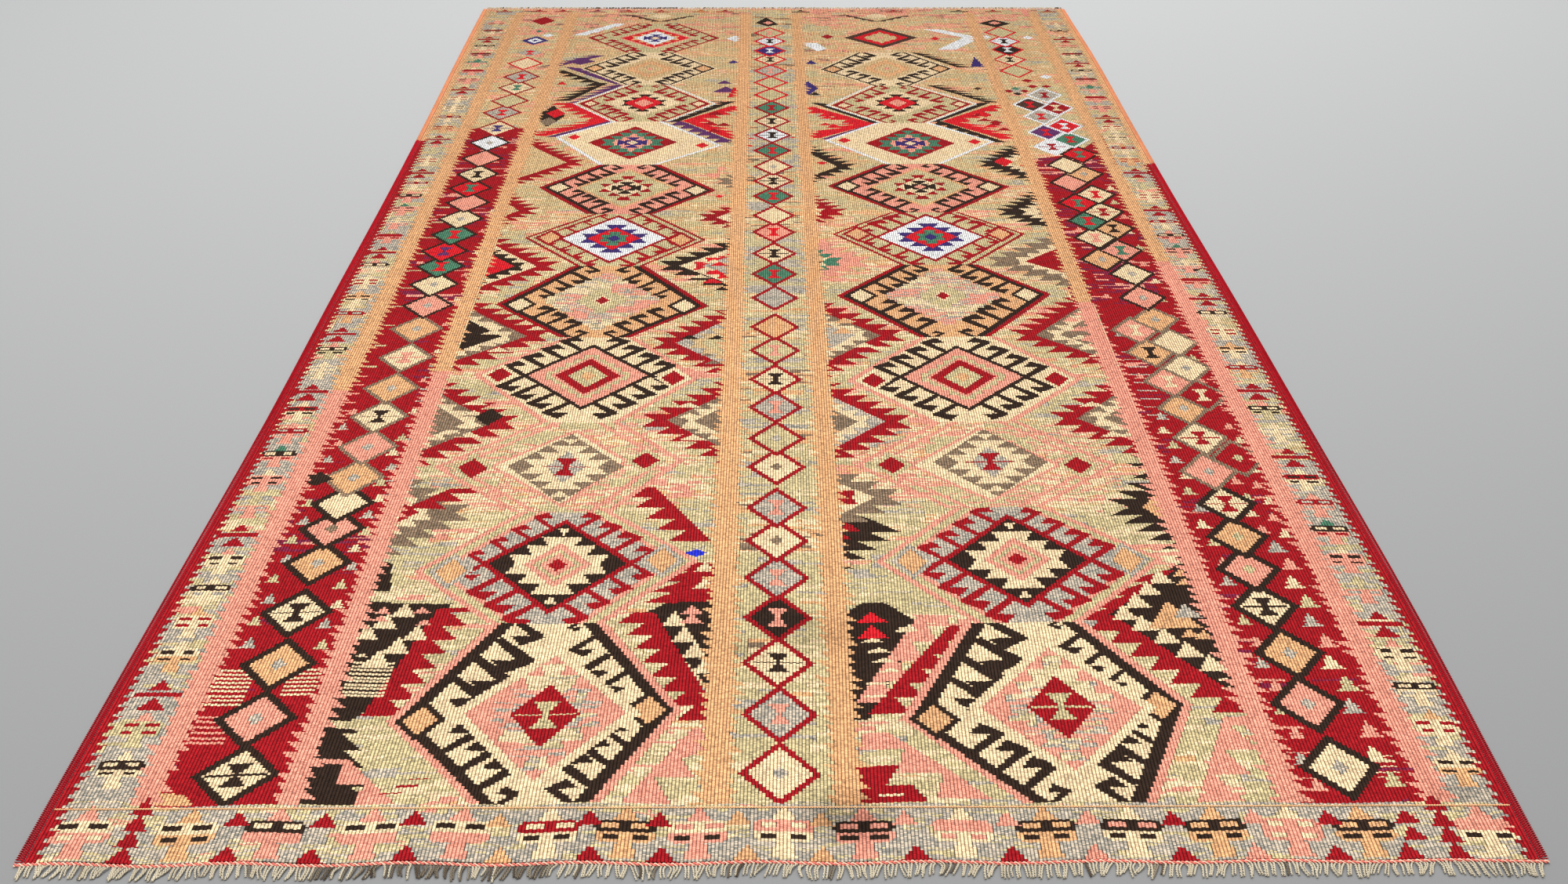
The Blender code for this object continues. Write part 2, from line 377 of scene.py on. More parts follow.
class Dye:
    """A material being mixed: its nodes, and the shader that they feed."""

    def __init__(self, name):
        self.material = bpy.data.materials.new(name)
        self.material.use_nodes = True
        self.tree = self.material.node_tree
        self.shader = self.tree.nodes["Principled BSDF"]
        self.shader.inputs["Specular IOR Level"].default_value = WOOL_GLOSS

    def node(self, kind, settings, inputs):
        """A node of this kind: its settings first, then values or links for its sockets."""
        made = self.tree.nodes.new(kind)
        for key, setting in settings.items():
            if key == "stops":
                self.set_stops(made.color_ramp, setting)
            elif key == "ramp":
                made.color_ramp.interpolation = setting
            else:
                setattr(made, key, setting)
        for key, value in inputs.items():
            self.feed(made.inputs[key], value)
        return made

    @staticmethod
    def set_stops(ramp, stops):
        """Colour stops as (position, colour with alpha)."""
        while len(ramp.elements) < len(stops):
            ramp.elements.new(1.0)
        for element, (position, tint) in zip(ramp.elements, stops):
            element.position = position
            element.color = tint

    def feed(self, socket, value):
        """Link a reading or an output to a socket, or set the socket's own value."""
        if isinstance(value, Reading):
            value = value.socket
        if isinstance(value, bpy.types.NodeSocket):
            self.tree.links.new(value, socket)
        else:
            socket.default_value = value

    def output(self, kind, settings, inputs, name=0):
        """One output of a new node."""
        return self.node(kind, settings, inputs).outputs[name]

    def value(self, kind, settings, inputs, name=0):
        """One output of a new node, as a reading."""
        return Reading(self, self.output(kind, settings, inputs, name))

    def mix(self, share, first, second, blend="MIX"):
        """Two colours mixed by a share, or blended in another way."""
        settings = {"data_type": "RGBA", "blend_type": blend, "clamp_factor": True}
        return self.output("ShaderNodeMix", settings, {0: share, 6: first, 7: second}, 2)

    def shaded(self, base, shade):
        """A colour made darker by a reading."""
        grey = self.output("ShaderNodeCombineColor", {}, {0: shade, 1: shade, 2: shade})
        return self.mix(1.0, base, grey, "MULTIPLY")

    def parts(self, vector):
        """The three numbers of a vector."""
        split = self.node("ShaderNodeSeparateXYZ", {}, {0: vector})
        return [Reading(self, out) for out in split.outputs]

    def vector(self, x, y, z=0.0):
        """A vector of three readings."""
        return self.output("ShaderNodeCombineXYZ", {}, {0: x, 1: y, 2: z})

    def spot(self):
        """The point in the rug's own frame, in metres."""
        return self.output("ShaderNodeTexCoord", {}, {}, "Object")

    def noise(self, vector, scale, detail=2.0, rough=0.5):
        """Soft noise from 0 to 1, about 0.5."""
        inputs = {"Vector": vector, "Scale": scale, "Detail": detail, "Roughness": rough}
        return self.value("ShaderNodeTexNoise", {}, inputs, "Fac")

    def chance(self, vector):
        """One even draw from 0 to 1 for each value of a vector."""
        return self.value("ShaderNodeTexWhiteNoise", {"noise_dimensions": "3D"}, {"Vector": vector}, "Value")

    def relief(self, height, distance, strength=1.0):
        """Bump from a height of 0 to 1 that stands for a real distance."""
        inputs = {"Height": height, "Distance": distance, "Strength": strength}
        return self.output("ShaderNodeBump", {}, inputs, "Normal")

    def finish(self, **inputs):
        """Feed the shader and hand over the material."""
        for key, value in inputs.items():
            self.feed(self.shader.inputs[key.replace("_", " ")], value)
        return self.material


def opaque(tint):
    """A colour with full alpha."""
    return (*tint, 1.0)


def yarn_tint(name):
    """A wool's own colour."""
    return opaque(getattr(yarns(), name))


def fleck_of(name):
    """A wool's second fibre, lighter on dark wools and greyer on light ones, and how much it shows."""
    base = Vector(getattr(yarns(), name))
    light = base.dot(LIGHTNESS)
    if name == "heather":
        other = HEATHER_FIBRE
    elif name == "plum":
        other = yarns().crimson
    elif light < DARK_WOOL:
        other = base * LIGHTER + Vector((LIFT,) * 3)
    else:
        other = base * DARKER + Vector((light,) * 3) * GREYED
    return (*(min(1.0, c) for c in other), FLECKED.get(name, USUAL_FLECK))


# ---- the chart
ALL = (-9, 9, -9, 9)            # a rectangle that leaves nothing out: x from, x to, y from, y to
CHART_LUCK = 7
VIEW_PAD = 0.035                # a view is this much wider, because the sides wander
STRIPE_PAD = 0.02
COMB = 0.015                    # depth of the stripes' teeth
COMB_PITCH = 0.0185
COMB_ODDS = (0.45, 1.35)        # how much shorter or longer than that a tooth may be
COMB_SHIFT = 0.37               # from one side's teeth to the other's, as a part of the pitch
# The ground's runs: how thick and how long, and how much each size counts
MOTTLES = ((0.0063, 0.040, 0.28), (0.017, 0.090, 0.30), (0.052, 0.170, 0.42))


def within(x, y, clip):
    """Which cells lie inside a rectangle."""
    return (x > clip[0]) & (x < clip[1]) & (y > clip[2]) & (y < clip[3])


def rows_of(text):
    """A table's rows: each word a number if it can be."""
    return [
        [float(word) if word.lstrip("-").replace(".", "", 1).isdigit() else word for word in line.split()]
        for line in text.strip().splitlines()
    ]


def blocks_of(text):
    """Blocks of rows as dictionaries: a part's name, and the values of each of its rows."""
    blocks = []
    for block in text.split("\n\n"):
        parts = {}
        for name, *values in rows_of(block):
            parts.setdefault(name, []).append(values)
        blocks.append(parts)
    return blocks


class Loom:
    """The chart: a yarn for each bead row and rib, and the shapes that colour it."""

    def __init__(self):
        ribs = sizes().ribs
        rows = sizes().beads
        start, stop = BESIDE_BRAID, WOVEN_LENGTH - BESIDE_BRAID
        self.y = start + (np.arange(rows) + 0.5) / rows * (stop - start)
        left = side_line(LEFT, self.y, BESIDE_CORD)[:, None]
        right = side_line(RIGHT, self.y, BESIDE_CORD)[:, None]
        self.x = left + (np.arange(ribs) + 0.5) / ribs * (right - left)
        self.from_edge = np.minimum(self.x - left, right - self.x)
        self.yarn = np.zeros((rows, ribs), np.uint8)
        self.luck = np.random.default_rng(CHART_LUCK)

    def view(self, x0, x1, y0, y1):
        """The cells of one rectangle and where they lie."""
        rows, ribs = self.yarn.shape
        woven = self.y[-1] - self.y[0]
        low, high = ((np.array([y0, y1]) - BESIDE_BRAID) / woven * rows + (0, 1)).astype(int)
        first, last = ((np.array([x0, x1]) + (-VIEW_PAD, VIEW_PAD)) / WOVEN_WIDTH * ribs).astype(int)
        along = slice(max(low, 0), max(high, 0))
        across = slice(max(first, 0), max(last, 0))
        return self.x[along, across], self.y[along, None], self.yarn[along, across]

    def lozenge(self, at, reach, yarn, tooth=0.0, pitch=0.03, clip=ALL):
        """A lozenge whose edge may be toothed; reach is left, right, down and up."""
        left, right, down, up = reach
        x, y, cells = self.view(
            max(at[0] - left - tooth, clip[0]),
            min(at[0] + right + tooth, clip[1]),
            max(at[1] - down - tooth, clip[2]),
            min(at[1] + up + tooth, clip[3]),
        )
        dx = x - at[0]
        dy = y - at[1]
        span = np.where(dx < 0, left, right)
        edge = span * (1 - np.abs(dy) / np.where(dy < 0, down, up))
        edge = edge + tooth * (np.abs(dy) / pitch % 1)
        cells[(np.abs(dx) < edge) & within(x, y, clip)] = YARN[yarn]

    def figure(self, points, yarn, at=(0, 0), size=(1, 1), clip=ALL):
        """A filled outline; a negative size mirrors it."""
        px = [at[0] + size[0] * point[0] for point in points]
        py = [at[1] + size[1] * point[1] for point in points]
        x, y, cells = self.view(min(px), max(px), min(py), max(py))
        inside = np.zeros(cells.shape, bool)
        for ax, ay, bx, by in zip(px, py, px[1:] + px[:1], py[1:] + py[:1]):
            if ay != by:
                inside ^= ((ay > y) != (by > y)) & (x < ax + (y - ay) * (bx - ax) / (by - ay))
        cells[inside & within(x, y, clip)] = YARN[yarn]

    def box(self, x0, x1, y0, y1, yarn):
        """A filled rectangle."""
        x, y, cells = self.view(x0, x1, y0, y1)
        cells[within(x, y, (x0, x1, y0, y1))] = YARN[yarn]

    def slant(self, start, end, width, yarn, tooth=0.0, side=RIGHT, pitch=0.03):
        """A bar up from one point to another, toothed on one side; teeth are longest at their near end."""
        (x0, y0), (x1, y1) = start, end
        pad = width + tooth
        x, y, cells = self.view(min(x0, x1) - pad, max(x0, x1) + pad, y0, y1)
        middle = x0 + (x1 - x0) * (y - y0) / (y1 - y0)
        reach = tooth * (1 - (y - y0) / pitch % 1)
        beyond = (x - middle) * side
        cells[(beyond > -width / 2) & (beyond < width / 2 + reach) & (y > y0) & (y < y1)] = YARN[yarn]

    def stripe(self, path, yarn, y0, y1, shift):
        """A band up the rug, combed on both sides; path rows are along, left edge and right edge."""
        ys, lefts, rights = zip(*path)
        x, y, cells = self.view(min(lefts) - STRIPE_PAD, max(rights) + STRIPE_PAD, y0, y1)
        saw = y / COMB_PITCH + shift
        other = saw + COMB_SHIFT
        odds = self.luck.uniform(*COMB_ODDS, (2, int(saw.max()) + 2))
        low = np.interp(y, ys, lefts) - COMB * (saw % 1) * odds[0, saw.astype(int)]
        high = np.interp(y, ys, rights) + COMB * (1 - other % 1) * odds[1, other.astype(int)]
        cells[(x > low) & (x < high) & (y > y0) & (y < y1)] = YARN[yarn]

    def mottle(self, area, mix, only=None, grain=1.0):
        """A ground of short runs of several wefts, mixed by shares that change along the rug.

        It fills an area, or what one yarn covers there, and a smaller grain has smaller runs.
        """
        names, *rows = mix
        x, y, cells = self.view(*area)
        rows = np.array(rows)
        limits = [np.interp(y, rows[:, 0], rows[:, 1:k + 2].sum(1)) for k in range(len(names) - 1)]
        chance = 0.0 * x
        for thick, length, weight in MOTTLES:
            length = length * grain
            strip = (y[:, 0] / thick / grain).astype(int)
            shift = self.luck.uniform(0, length, strip[-1] + 1)[strip, None]
            run = ((x + 1 + shift) / length).astype(int)
            chance += weight * self.luck.random((strip[-1] + 1, run.max() + 1))[strip[:, None], run]
        order = chance.ravel().argsort().argsort().reshape(chance.shape) / chance.size
        picked = sum((order > limit).astype(int) for limit in limits)
        cover = within(x, y, area) if only is None else within(x, y, area) & (cells == YARN[only])
        cells[cover] = np.array([YARN[name] for name in names])[picked][cover]


# ---- small figures
# A hook: a stem from its root to 1, 1 and a triangular head that turns back over the stem
HOOK = ((-0.09, 0.09), (0.62, 0.88), (-0.04, 0.92), (0.36, 1.46), (1.10, 0.98), (1.05, 0.80), (0.10, -0.10))
TRIANGLE = ((-1, 0), (1, 0), (0, 1))
HOURGLASS = ((-1, -1), (1, -1), (0.22, -0.15), (0.22, 0.15), (1, 1), (-1, 1), (-0.22, 0.15), (-0.22, -0.15))
DASH = 0.0042                   # how thick a dash is
LINE, LINE_LENGTH = 0.003, 2.2  # how thick the line through an hourglass is, and how much longer than it


def triangle(loom, x, y, half, height, yarn):
    """A triangle that stands on y, or hangs from it where its height is negative."""
    loom.figure(TRIANGLE, yarn, (x, y), (half, height))


def dash(loom, x, y, half, yarn, thick=DASH):
    """A short line along a few wefts."""
    loom.box(x - half, x + half, y - thick / 2, y + thick / 2, yarn)


def hourglass(loom, x, y, half, height, yarn, line=False):
    """Two triangles tip to tip, with a line through them or without."""
    loom.figure(HOURGLASS, yarn, (x, y), (half, height))
    if line:
        dash(loom, x, y, half * LINE_LENGTH, yarn, LINE)



# ---- medallions
# A medallion's hexagon: its side tips, the near and far edges that it shares with others, and its heart
Frame = namedtuple(
    "Frame", "left left_y right right_y low low_left low_right high high_left high_right heart_x heart_y"
)
FRAMES = [Frame(*row) for row in rows_of("""
.362 .250 .727 .270 .100 .487 .640 .455 .463 .615 .557 .262
.335 .580 .735 .605 .455 .455 .615 .735 .465 .600 .535 .596
.312 .868 .700 .885 .735 .452 .600 1.01 .460 .590 .517 .868
.325 1.18 .715 1.165 1.01 .462 .590 1.325 .470 .592 .522 1.175
.322 1.465 .720 1.455 1.325 .455 .585 1.64 .448 .590 .520 1.482
.335 1.785 .705 1.77 1.64 .455 .585 1.912 .465 .585 .517 1.780
.330 2.065 .717 2.045 1.912 .448 .592 2.205 .450 .585 .520 2.062
.328 2.39 .722 2.33 2.205 .448 .580 2.50 .455 .575 .513 2.352
.345 2.635 .700 2.63 2.50 .450 .590 2.785 .465 .575 .520 2.640
.335 2.925 .695 2.92 2.785 .455 .590 3.065 .448 .575 .518 2.918
.328 3.205 .692 3.20 3.065 .445 .575 3.345 .460 .570 .515 3.202
.998 .250 1.365 .278 .100 1.130 1.285 .455 1.095 1.258 1.200 .274
.985 .600 1.395 .605 .455 1.11 1.255 .745 1.11 1.25 1.187 .606
.965 .870 1.375 .870 .745 1.10 1.24 1.01 1.105 1.24 1.180 .880
.965 1.155 1.37 1.16 1.01 1.095 1.235 1.325 1.105 1.24 1.165 1.168
.960 1.50 1.365 1.505 1.325 1.10 1.23 1.645 1.085 1.24 1.160 1.500
.960 1.80 1.355 1.80 1.645 1.09 1.23 1.918 1.085 1.23 1.160 1.785
.958 2.07 1.355 2.065 1.918 1.10 1.22 2.208 1.085 1.22 1.160 2.066
.960 2.365 1.355 2.355 2.208 1.095 1.22 2.49 1.085 1.215 1.158 2.345
.970 2.62 1.345 2.63 2.49 1.095 1.215 2.775 1.085 1.205 1.148 2.640
.958 2.915 1.315 2.92 2.775 1.09 1.195 3.065 1.06 1.205 1.138 2.922
""")]
# The medallions' styles, which take turns. Each block has a row for each part:
# outline, outside in: yarn and inset, again and again
# hooks: yarn, number on a side, whether they point outwards (1) or not, and half across and along their core
# tips: yarn, half across, half along, distance in, and the yarn around them or "-"
# ring, outside in: yarn, half across, half along, and where it is toothed the tooth and the pitch
# star: yarn and kind
# mottled: the ring that is a mix of wefts, or sage for a mixed band inside the outline
STYLES = blocks_of("""
outline coral 0 black .013 cream .031
hooks black 4 0 .110 .132
tips peach .022 .028 .042 black
ring cream .119 .142
ring coral .101 .121
ring heather .062 .092 .026 .026
ring crimson .043 .062
star sage line
mottled heather

outline coral 0 sage .012 coral .028 heather .040
hooks crimson 4 1 .108 .120
tips peach .022 .032 .052 heather
ring crimson .110 .120
ring black .098 .108
ring cream .060 .070 .032 .024
ring coral .048 .056
ring sage .036 .040
ring coral .026 .030
ring crimson .014 .016

outline coral 0 sage .011 coral .028 sage .038 coral .086 cream .095
tips crimson .022 .026 .060 sage
ring taupe .090 .104
ring cream .050 .062 .036 .022
ring heather .030 .048
star crimson line
mottled sage

outline coral 0 cream .013
hooks black 4 1 .112 .120
tips crimson .021 .027 .046 cream
ring black .114 .122
ring coral .102 .110
ring sage .072 .080 .012 .016
ring coral .064 .074
ring crimson .056 .066
ring sage .034 .042
ring peach .014 .018

outline crimson 0 black .012 peach .026
hooks black 4 0 .116 .134
tips cream .022 .028 .046 black
ring coral .108 .126 .010 .018
ring sage .044 .054 .010 .018
ring cream .020 .026
ring crimson .013 .017
mottled coral

outline crimson 0 sage .009 crimson .022 sage .031
hooks crimson 4 1 .114 .126
tips peach .022 .029 .052 crimson
ring crimson .114 .126
ring white .104 .114
ring navy .054 .058 .036 .024
ring red .054 .058
ring green .024 .030 .018 .018
ring navy .014 .017

outline crimson 0 black .013 coral .026
hooks black 4 0 .116 .120
tips cream .022 .026 .044 black
ring peach .110 .118
ring sage .100 .108
ring crimson .046 .054 .032 .024
ring cream .050 .056
star black cross

outline white 0 cream .011
tips red .016 .019 .046 -
ring crimson .104 .112
ring green .062 .070 .032 .022
ring coral .046 .052 .012 .020
star navy cross

outline white 0 cream .006 crimson .014 sage .023
hooks crimson 4 0 .106 .116
tips cream .016 .018 .044 crimson
ring cream .092 .100
ring black .044 .052 .030 .022
ring red .048 .056
ring coral .024 .030

outline cream 0 black .010 cream .018
hooks black 4 0 .116 .120
tips peach .021 .025 .038 black
ring straw .092 .102
ring peach .060 .068 .010 .020
ring straw .034 .040 .008 .018
ring coral .009 .012

outline crimson 0 sage .009
hooks crimson 5 0 .110 .112
tips sage .016 .018 .030 crimson
ring coral .102 .100
ring red .094 .090
ring peach .060 .058 .026 .020
ring white .056 .068
star navy cross
""")
# Where the roots of hooks start and how far they spread, as parts of the side that they stand on
RIM_ROOTS = (0.40, 0.84)
CORE_ROOTS = (0.02, 1.06)
HOOK_REACH = 0.62               # how much of the room between rim and core a hook takes
HOOK_ROOM = 1.20                # a hook is no larger than this many times the step to the next
MEDALLION_GRAIN = 0.5
HEART_REACH = 0.13
TIP_LINE = (0.010, 0.012)       # how broad the line around a tip's lozenge is, across and along
STAR_ARM = 0.017
STAR_CORNER = ((0.2, 0.2), (1.1, 0.2), (1.1, 1.0), (0.2, 1.0))
STAR_SIDE = ((0, -1), (0, 1), (-1.4, 0))
HEART_MARK = (0.017, 0.026)


def frame_edges(frame, y):
    """X of a hexagon's left and right edge."""
    corners = (frame.low_left, frame.left, frame.high_left)
    left = np.interp(y, (frame.low, frame.left_y, frame.high), corners)
    corners = (frame.low_right, frame.right, frame.high_right)
    right = np.interp(y, (frame.low, frame.right_y, frame.high), corners)
    return left, right


def frame_fill(loom, frame, inset, yarn):
    """A hexagon, smaller on both sides by the inset."""
    x, y, cells = loom.view(frame.left, frame.right, frame.low, frame.high)
    left, right = frame_edges(frame, y)
    cells[(x > left + inset) & (x < right - inset) & (y > frame.low) & (y < frame.high)] = YARN[yarn]


def hooks(loom, frame, inset, yarn, number, outward, across, along):
    """Latch hooks all round a medallion, rooted on its rim or, if outward, on its core."""
    inside = (frame.left, frame.right, frame.low, frame.high)
    tall = frame.high - frame.low
    first, spread = CORE_ROOTS if outward else RIM_ROOTS
    for side, tip_y in ((LEFT, frame.left_y), (RIGHT, frame.right_y)):
        for up, end in ((NEAR, frame.low), (FAR, frame.high)):
            start, length = (frame.heart_y, up * along) if outward else (tip_y, end - tip_y)
            for k in range(int(number)):
                y = start + length * (first + spread * k / number)
                outer = frame_edges(frame, y)[side == RIGHT] - side * inset
                inner = frame.heart_x + side * across * max(0.0, 1 - abs(y - frame.heart_y) / along)
                room = HOOK_REACH * min(abs(outer - inner), tall / 4)
                reach = min(room, HOOK_ROOM * spread * abs(length) / number)
                if outward:
                    loom.figure(HOOK, yarn, (inner, y), (side * reach, up * reach), inside)
                else:
                    loom.figure(HOOK, yarn, (outer, y), (-side * reach, -up * reach), inside)


def ring(loom, at, yarn, across, along, tooth=0.0, pitch=0.03):
    """A lozenge that is the same on both sides, and the same up and down."""
    loom.lozenge(at, (across, across, along, along), yarn, tooth, pitch)


def cross_star(loom, x, y, yarn, middle):
    """A star of four points with a lozenge in the middle."""
    arm = STAR_ARM
    for way in (-1, 1):
        loom.figure(TRIANGLE, yarn, (x, y + way * arm * 2.1), (arm, -way * arm * 1.5))
        loom.figure(STAR_SIDE, yarn, (x + way * arm * 1.9, y), (way * arm, arm * 1.1))
        for end in (-1, 1):
            loom.figure(STAR_CORNER, yarn, (x, y), (way * arm, end * arm))
    ring(loom, (x, y), middle, arm * 0.8, arm * 0.8)


def medallion(loom, frame, style):
    """One medallion: its outline, mixed band, hooks, tips, rings and star."""
    (outline,) = style["outline"]
    ((mottled,),) = style.get("mottled", [[None]])
    for yarn, inset in zip(outline[::2], outline[1::2]):
        frame_fill(loom, frame, inset, yarn)
    if mottled == "sage":
        area = (frame.left, frame.right, frame.low, frame.high)
        loom.mottle(area, BAND_MIX, mottled, MEDALLION_GRAIN)
    for row in style.get("hooks", ()):
        hooks(loom, frame, outline[-1], *row)
    for yarn, half, tall, inward, line in style["tips"]:
        for tip in ((frame.left + inward, frame.left_y), (frame.right - inward, frame.right_y)):
            if line != "-":
                ring(loom, tip, line, half + TIP_LINE[0], tall + TIP_LINE[1])
            ring(loom, tip, yarn, half, tall)
    x, y = heart = (frame.heart_x, frame.heart_y)
    for row in style["ring"]:
        ring(loom, heart, *row)
        if row[0] == mottled:
            area = (x - HEART_REACH, x + HEART_REACH, y - HEART_REACH, y + HEART_REACH)
            loom.mottle(area, CORE_MIX, mottled, MEDALLION_GRAIN)
    for yarn, kind in style.get("star", ()):
        if kind == "line":
            hourglass(loom, x, y, *HEART_MARK, yarn, True)
        else:
            cross_star(loom, x, y, yarn, "cream" if yarn == "navy" else "coral")


# ---- chains of lozenges between the stripes
# each lozenge: x, y, its filling, and the mark in its middle or "-"
LEFT_CHAIN = """
.205 .15 cream black
.20 .255 coral heather
.20 .365 peach heather
.195 .48 cream black
.195 .60 peach heather
.195 .69 coral taupe
.195 .76 cream -
.195 .835 peach heather
.197 .93 coral heather
.195 1.03 cream black
.195 1.13 peach heather
.197 1.245 cream coral
.195 1.36 peach heather
.197 1.46 coral heather
.192 1.555 cream heather
.19 1.64 green red
.185 1.715 red purple
.19 1.80 green red
.19 1.885 cream heather
.19 1.975 coral -
.182 2.06 red green
.185 2.145 cream black
.18 2.245 coral -
.182 2.35 white heather
.185 2.45 cream navy
.18 2.565 heather red
.187 2.655 sage -
.19 2.76 cream green
.19 2.85 heather red
.185 2.965 cream -
"""
CENTRE_CHAIN = """
.848 .15 cream heather
.848 .26 heather coral
.846 .365 cream black
.846 .465 black coral
.845 .56 heather coral
.845 .655 cream taupe
.845 .745 heather coral
.845 .865 cream taupe
.845 .955 sage heather
.844 1.06 heather coral
.844 1.16 cream black
.843 1.27 sage coral
.843 1.365 peach -
.843 1.49 heather -
.842 1.60 green red
.842 1.70 cream black
.841 1.81 coral red
.841 1.90 cream -
.840 2.01 green red
.840 2.10 cream black
.840 2.19 cream heather
.838 2.295 green red
.838 2.40 white black
.837 2.50 cream black
.836 2.60 green crimson
.835 2.70 sage -
.834 2.80 sage -
.833 2.90 heather coral
.832 3.00 cream black
.831 3.08 navy white
.831 3.17 white black
.830 3.25 sage coral
"""
RIGHT_CHAIN = """
1.515 .16 cream heather
1.51 .28 coral heather
1.515 .385 peach heather
1.51 .49 cream black
1.51 .58 coral sage
1.515 .665 peach sage
1.52 .755 cream crimson
1.515 .85 coral heather
1.570 .89 crimson sage
1.525 .955 cream crimson
1.52 1.055 peach heather
1.56 1.10 crimson cream
1.515 1.15 coral cream
1.555 1.20 cream heather
1.505 1.26 peach black
1.555 1.30 cream -
1.495 1.35 coral cream
1.54 1.395 peach heather
1.535 1.49 coral heather
1.535 1.60 cream heather
1.49 1.67 peach heather
1.535 1.715 coral green
1.495 1.78 cream coral
1.54 1.83 peach black
1.495 1.87 green red
1.535 1.92 cream crimson
1.49 1.97 red green
1.535 2.02 cream red
1.49 2.09 coral -
1.53 2.145 peach heather
1.50 2.20 cream -
1.54 2.27 red green
1.485 2.32 white crimson
1.535 2.37 green red
1.485 2.42 purple red
1.535 2.465 red white
1.49 2.535 heather red
1.535 2.60 crimson cream
1.475 2.625 brown red
1.52 2.70 heather crimson
1.475 2.90 sage -
1.47 3.0 cream black
1.475 3.09 black white
1.475 3.17 white black
1.475 3.255 sage -
"""


# Each chain: its lozenges, the y that each outline yarn reaches, half a lozenge's width and height, and how
# broad the outline is in the near part and beyond it
Chain = namedtuple("Chain", "links outlines half tall near_line line")
CHAINS = (
    Chain(
        LEFT_CHAIN, ((0.8, "black"), (1.45, "taupe"), (2.4, "black"), (2.93, "crimson"), (9, "red")),
        0.049, 0.059, 0.013, 0.009,
    ),
    Chain(CENTRE_CHAIN, ((2.68, "crimson"), (9, "red")), 0.046, 0.058, 0.010, 0.010),
    Chain(
        RIGHT_CHAIN, ((0.8, "black"), (1.40, "taupe"), (2.3, "black"), (2.8, "white"), (9, "red")),
        0.046, 0.060, 0.013, 0.009,
    ),
)
NEAR_PART = 0.8
NEAR_SWELL, SWELL_FADE = 0.006, 0.35    # how much wider the nearest lozenges are, and how that fades
SMALL_MARKS = ("heather", "taupe", "sage")


def link(loom, x, y, fill, mark, outline, half, tall, line):
    """One lozenge of a chain, wider near the near end."""
    half = half + NEAR_SWELL * math.exp(-y / SWELL_FADE)
    ring(loom, (x, y), outline, half, tall)
    ring(loom, (x, y), fill, half - line, tall - line * tall / half)
    if mark in SMALL_MARKS:
        ring(loom, (x, y), mark, half * 0.20, tall * 0.22)
    elif mark != "-":
        hourglass(loom, x, y, half * 0.30, tall * 0.36, mark, fill in ("cream", "white"))


def chains(loom):
    """The three chains, each lozenge with the outline that its place asks for."""
    for chain in CHAINS:
        for x, y, fill, mark in rows_of(chain.links):
            outline = next(yarn for reach, yarn in chain.outlines if y < reach)
            line = chain.near_line if y < NEAR_PART else chain.line
            link(loom, x, y, fill, mark, outline, chain.half, chain.tall, line)


# ---- between the medallions
# half lozenges standing on a stripe: base, tip, y, reach down and up, cut below and above, and then the
# layers, with "+" for teeth
FILLERS = """
.288 .405 .735 .13 .10 .62 .83 taupe+ cream+ crimson
.285 .440 1.01 .15 .15 .87 1.17 crimson+ taupe cream+ taupe
.284 .455 1.33 .15 .16 1.18 1.49 crimson+ taupe cream+ black
.282 .435 1.64 .15 .16 1.51 1.80 crimson+ cream black+ red
.280 .355 1.93 .09 .10 1.84 2.03 crimson+ straw
.278 .425 2.22 .15 .17 2.07 2.39 crimson+ straw
.757 .610 1.015 .14 .15 .88 1.16 crimson+ taupe cream+ taupe
.757 .610 1.300 .14 .16 1.17 1.46 crimson+ heather straw+ sage
.755 .600 1.640 .13 .14 1.51 1.78 black+ cream red+ heather
.755 .670 1.890 .07 .08 1.82 1.96 crimson+ cream
.753 .700 2.100 .05 .05 2.05 2.15 taupe+
.940 1.035 .700 .12 .03 .585 .73 black+ crimson+ black
.938 1.050 .775 .10 .09 .70 .86 taupe+ cream crimson+
.937 1.080 1.010 .14 .15 .89 1.17 crimson+ heather cream+ taupe
.935 1.090 1.330 .16 .15 1.17 1.48 crimson+ taupe cream+ heather
.932 1.045 1.660 .10 .13 1.57 1.80 coral+ green+ cream+ black
.930 1.005 1.920 .07 .11 1.85 2.04 crimson+ cream+ black
.928 1.035 2.190 .10 .15 2.09 2.34 black+ straw
1.428 1.335 .745 .15 .12 .60 .89 black+ peach
1.425 1.395 .850 .05 .05 .80 .90 black+ cream
1.425 1.280 1.020 .14 .15 .88 1.18 crimson+ taupe cream+ taupe
1.422 1.255 1.330 .15 .20 1.18 1.50 crimson+ taupe cream+ taupe
1.418 1.245 1.660 .14 .15 1.53 1.80 taupe+ cream+ crimson
1.412 1.300 1.920 .13 .14 1.84 2.05 black+ cream+ taupe+ black
1.410 1.290 2.210 .13 .15 2.10 2.34 black+ cream+ straw red+ coral
"""
# plain patches under the bars: yarn, then the corners
WEDGES = """
black .280 .250 .318 .250 .345 .290 .402 .500 .280 .505
black .280 .530 .312 .530 .300 .600 .280 .600
black .766 .300 .766 .505 .700 .505 .668 .478
crimson .766 .505 .766 .600 .735 .600 .700 .505
black .930 .250 .958 .250 1.040 .450 .990 .500 .960 .500 .930 .470
black 1.440 .270 1.440 .600 1.410 .590 1.280 .470 1.420 .290
black .280 .100 .350 .100 .306 .235 .280 .250
crimson .940 .100 1.020 .100 1.004 .128 .972 .128 .990 .165 .940 .165
"""
